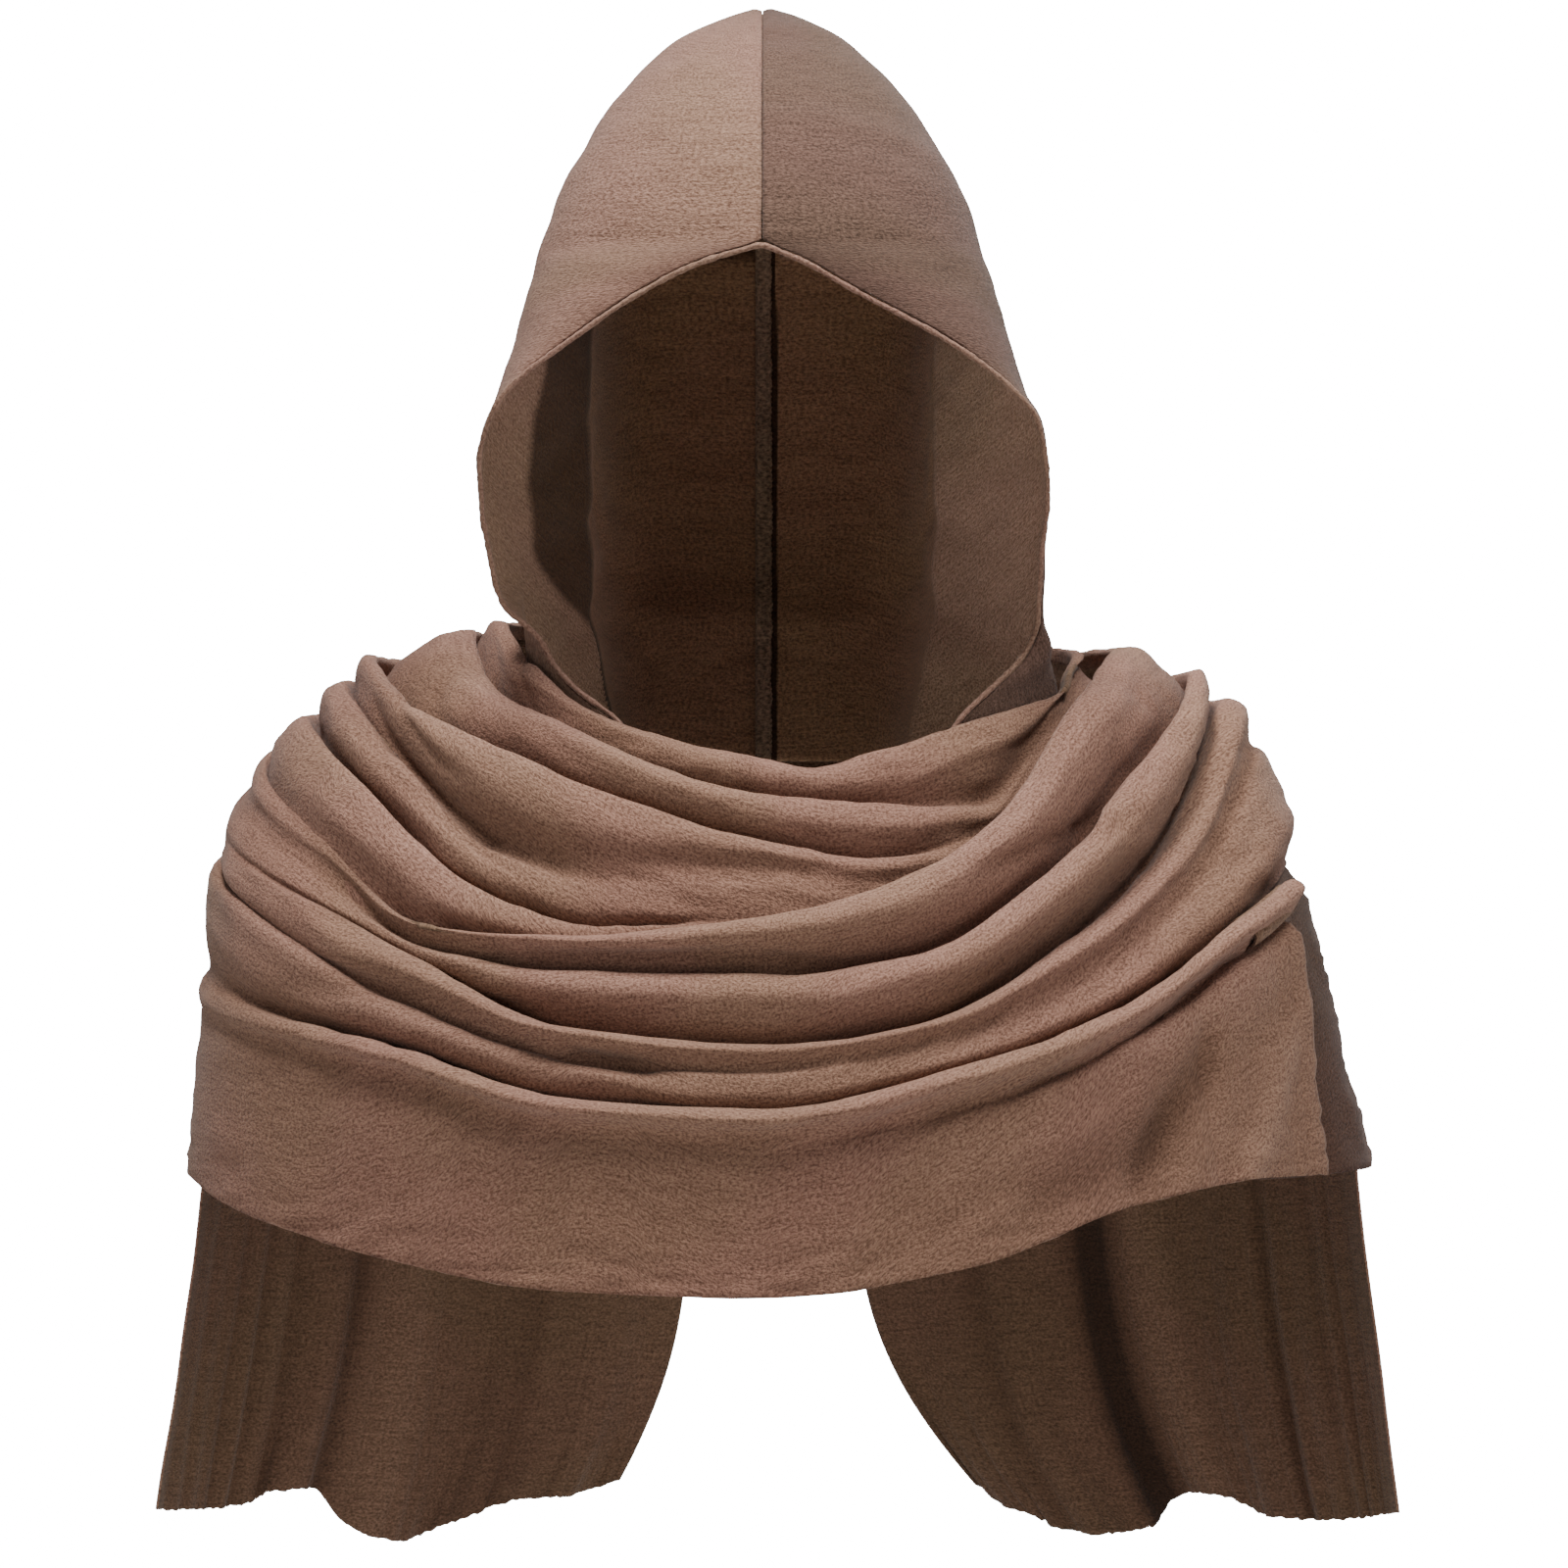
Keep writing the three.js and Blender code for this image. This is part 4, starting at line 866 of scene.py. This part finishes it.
def drape_surface():
    """The outer turn's lower rings moved inwards under it, deepest where the skirt covers them.
    Where nothing covers them they run straight from its rim to the hem, swell under the rim and
    flare outwards to the hem. Also how far out the layer is at each angle."""
    turn = fold_rings(CHEST_FOLDS, drape_angles, CHEST_FULLNESS)
    normals = grid_normals(turn)[DEEP_FOLD * 4 - 1:]
    rings = turn[DEEP_FOLD * 4 - 1:]
    fall = np.maximum(np.arange(len(rings)) - 2, 0)[:, None] / (len(rings) - 3)
    rim, hem = rings[1], rings[-1]
    straight = lerp(rim + unit(hem - rim) * RIM_FALL, hem, fall[..., None])
    bare = smoothstep(drape_angles, FREE_EDGE, FREE_EDGE + 7.5) * (1 - smoothstep(drape_angles, 196, 210))
    bare = (bare * (np.arange(len(rings)) >= 2)[:, None])[..., None]
    out = smoothstep(drape_angles, FREE_EDGE + 1, 92) * (1 - smoothstep(drape_angles, 184, 358 + BACK_EDGE))
    tucked = CLOTH + LAYER_GAP
    belly = DRAPE_BELLY * fall ** 0.4 * (1 - fall) ** 0.8
    shift = lerp(-tucked, DRAPE_FLARE * fall ** 2 + belly, out[None, :])
    shift[:2] = -tucked
    past = np.maximum(drape_angles - FREE_EDGE, 0)
    covered = 1 - smoothstep(drape_angles, FREE_EDGE - 2, FREE_EDGE + 4)
    shadowed = np.maximum(np.exp(-(past / 5) ** 2) * smoothstep(fall, 0, 0.15), covered)
    shift = shift - EDGE_SINK * shadowed
    facing = lerp(normals, normals[-1:], bare)
    return smooth_rings(lerp(rings, straight, bare) + facing * shift[..., None], DRAPE_STEPS), out


drape_grid, drape_out = drape_surface()
drape_length = run_along(drape_grid)
drape_u = np.broadcast_to(drape_angles, drape_grid.shape[:2])
# Fine level pleats beside the free edge, and a broad slackness; here a degree is 4.2 mm
drape_along = drape_u * DRAPE_DEGREE
drape_pleats = crinkle(drape_along, drape_length, 90, 6, 51) * 0.5 * (1 - smoothstep(drape_u, 96, 112))
drape_slack = crinkle(drape_along, drape_length, 60, 60, 52) * 1.2
drape_relief = (drape_pleats + drape_slack) * drape_out * smoothstep(drape_length, 15, 40)
drape_grid = drape_grid + grid_normals(drape_grid) * drape_relief[..., None]
# The strip beside the free edge is painted dark as shade under the skirt's edge
back_shade = SMOOTH_SHADE * smoothstep(drape_u, 86, 104)
back_layer = cloth_piece("back_layer_cloth", drape_grid, "back_drape", drawn=back_shade,
                         materials=(shaded_turn_crepe, reverse_crepe))

# The scarf's two ends: they hang behind from inside the hems with rounded inner corners,
# so their reverse side faces the front, in broad waves and fine lengthwise pleats.
TAIL_DROP = 162
TAIL_TUCK = 10
TAIL_WAVE = 7
TAIL_WIDTH = 240
HEM_SEAT = 0.6
FRAY = 0.0025
# Painted shade of the ends: its level on smooth cloth and how much it darkens per mm of hollow
TAIL_SHADE = 0.75
HOLLOW_SHADE_PER_MM = 0.12
TAIL_COLUMNS = 180
TAIL_ROWS = 120
# Edges are the angles of the outer and the inner corner, and shift how far those swing out.
# Hem charts the drop across the end, waves are (turns, phase, size), and hollows are
# (place across, half width, depth), with a depth below 0 for a ridge.
TAILS = [
    dict(node="tail_right", piece="right_end_cloth", side=-1, edges=(-97, -172.5), shift=(0.13, 0.2),
         hem=[(0, 0.944), (0.09, 0.944), (0.18, 0.93), (0.25, 0.89), (0.34, 0.88), (0.39, 0.965),
              (0.46, 1.01), (0.52, 1.02), (0.58, 0.994), (0.72, 0.92), (0.78, 0.895), (0.89, 0.877),
              (1, 0.83)],
         waves=[(2.1, 0.6, 1), (5.3, 1.1, 0.35)],
         hollows=[(0.34, 0.022, 4.5), (0.44, 0.05, -3.0), (0.1, 0.012, 1.6), (0.15, 0.012, 1.8),
                  (0.21, 0.015, 1.5), (0.7, 0.03, 2.0)]),
    dict(node="tail_left", piece="left_end_cloth", side=1, edges=(99, 171), shift=(0.12, 0.34),
         hem=[(0, 0.957), (0.1, 0.975), (0.2, 0.975), (0.31, 0.957), (0.39, 0.907), (0.45, 0.889),
              (0.51, 0.9), (0.58, 0.985), (0.69, 1), (0.77, 0.99), (0.88, 0.932), (1, 0.85)],
         waves=[(1.9, 2.2, 1), (6.5, 0.3, 0.25)],
         hollows=[(0.54, 0.042, 9.0), (0.43, 0.04, -3.0), (0.2, 0.015, 3.2), (0.03, 0.008, 1.2),
                  (0.065, 0.008, 1.4), (0.105, 0.01, 1.4), (0.78, 0.03, 1.8)]),
]


def tail_surface(tail):
    """A curtain hung from the hem's oval: each column drops its charted length, leans outwards towards the
    outer edge and swings in waves that grow towards the hem. Also its painted shade: darker in the hollows,
    paler on the ridges and darkest in the row tucked inside the hem."""
    side = tail["side"]
    angles = np.linspace(*tail["edges"], TAIL_COLUMNS)
    inset = 2 * (CLOTH + LAYER_GAP) if side < 0 else CLOTH + LAYER_GAP
    flare = 0 if side < 0 else DRAPE_FLARE
    hem = fold_line(CHEST_FOLDS[-1], angles)
    seat = hem + outwards(angles) * (flare - inset - HEM_SEAT)
    high = lerp(hem, fold_line(CHEST_FOLDS[-2], angles), 0.12)
    tuck = seat + unit(high - hem) * TAIL_TUCK
    across = (seat[:, 0] - seat[0, 0]) / (seat[-1, 0] - seat[0, 0])
    down = np.linspace(0, 1, TAIL_ROWS)[:, None]
    places, lengths = zip(*tail["hem"])
    frayed = crinkle(across * TAIL_WIDTH, 0 * across, 4, 400, 71 + side) * FRAY
    length = curve_at(places, lengths, across) + frayed
    shift = lerp(tail["shift"][0] * down, tail["shift"][1] * down ** 2.4, across)
    wave = sum(size * np.sin(turns * np.pi * 2 * across + phase) for turns, phase, size in tail["waves"])
    x = seat[:, 0] + side * shift * TAIL_DROP
    y = seat[:, 1] + TAIL_WAVE * wave * down ** 0.7
    z = seat[:, 2] - length * TAIL_DROP * down
    grid = np.concatenate([tuck[None], np.stack([x, y, z], -1)])
    pleats = crinkle(across * TAIL_WIDTH, 0 * across, 9, 400, 61 + side) * 0.6
    drift = crinkle(across * TAIL_WIDTH + 0 * down, length * TAIL_DROP * down, 30, 160, 64 + side)
    hollows = sum(depth * np.exp(-((across - place) / width) ** 2) for place, width, depth in tail["hollows"])
    facing = grid_normals(grid)[1:] * side
    grid[1:] += facing * (pleats * down ** 0.5 + drift * down ** 0.6 + hollows * down ** 0.4)[..., None]
    # Painted shade: darker in the hollows, paler on the ridges
    shade = np.clip(TAIL_SHADE - hollows * HOLLOW_SHADE_PER_MM, 0, 1)
    painted_shade = np.concatenate([[0 * across], np.tile(shade, (TAIL_ROWS, 1))])
    return (grid, painted_shade) if side > 0 else (grid[:, ::-1], painted_shade[:, ::-1])


# The reverse of the ends is painted a darker brown as shade, with painted shade in the hollows and painted
# highlight on the ridges between the pleats
shaded_end_reverse = crepe("brown_crepe_ends_painted_shade", "#866a57", "#533f30", 0.9, painted_shades=PAINTED_SHADE_RAMP)
for tail in TAILS:
    surface, painted_shade = tail_surface(tail)
    end = cloth_piece(tail["piece"], surface, tail["node"], drawn=painted_shade, materials=(face_crepe, shaded_end_reverse))
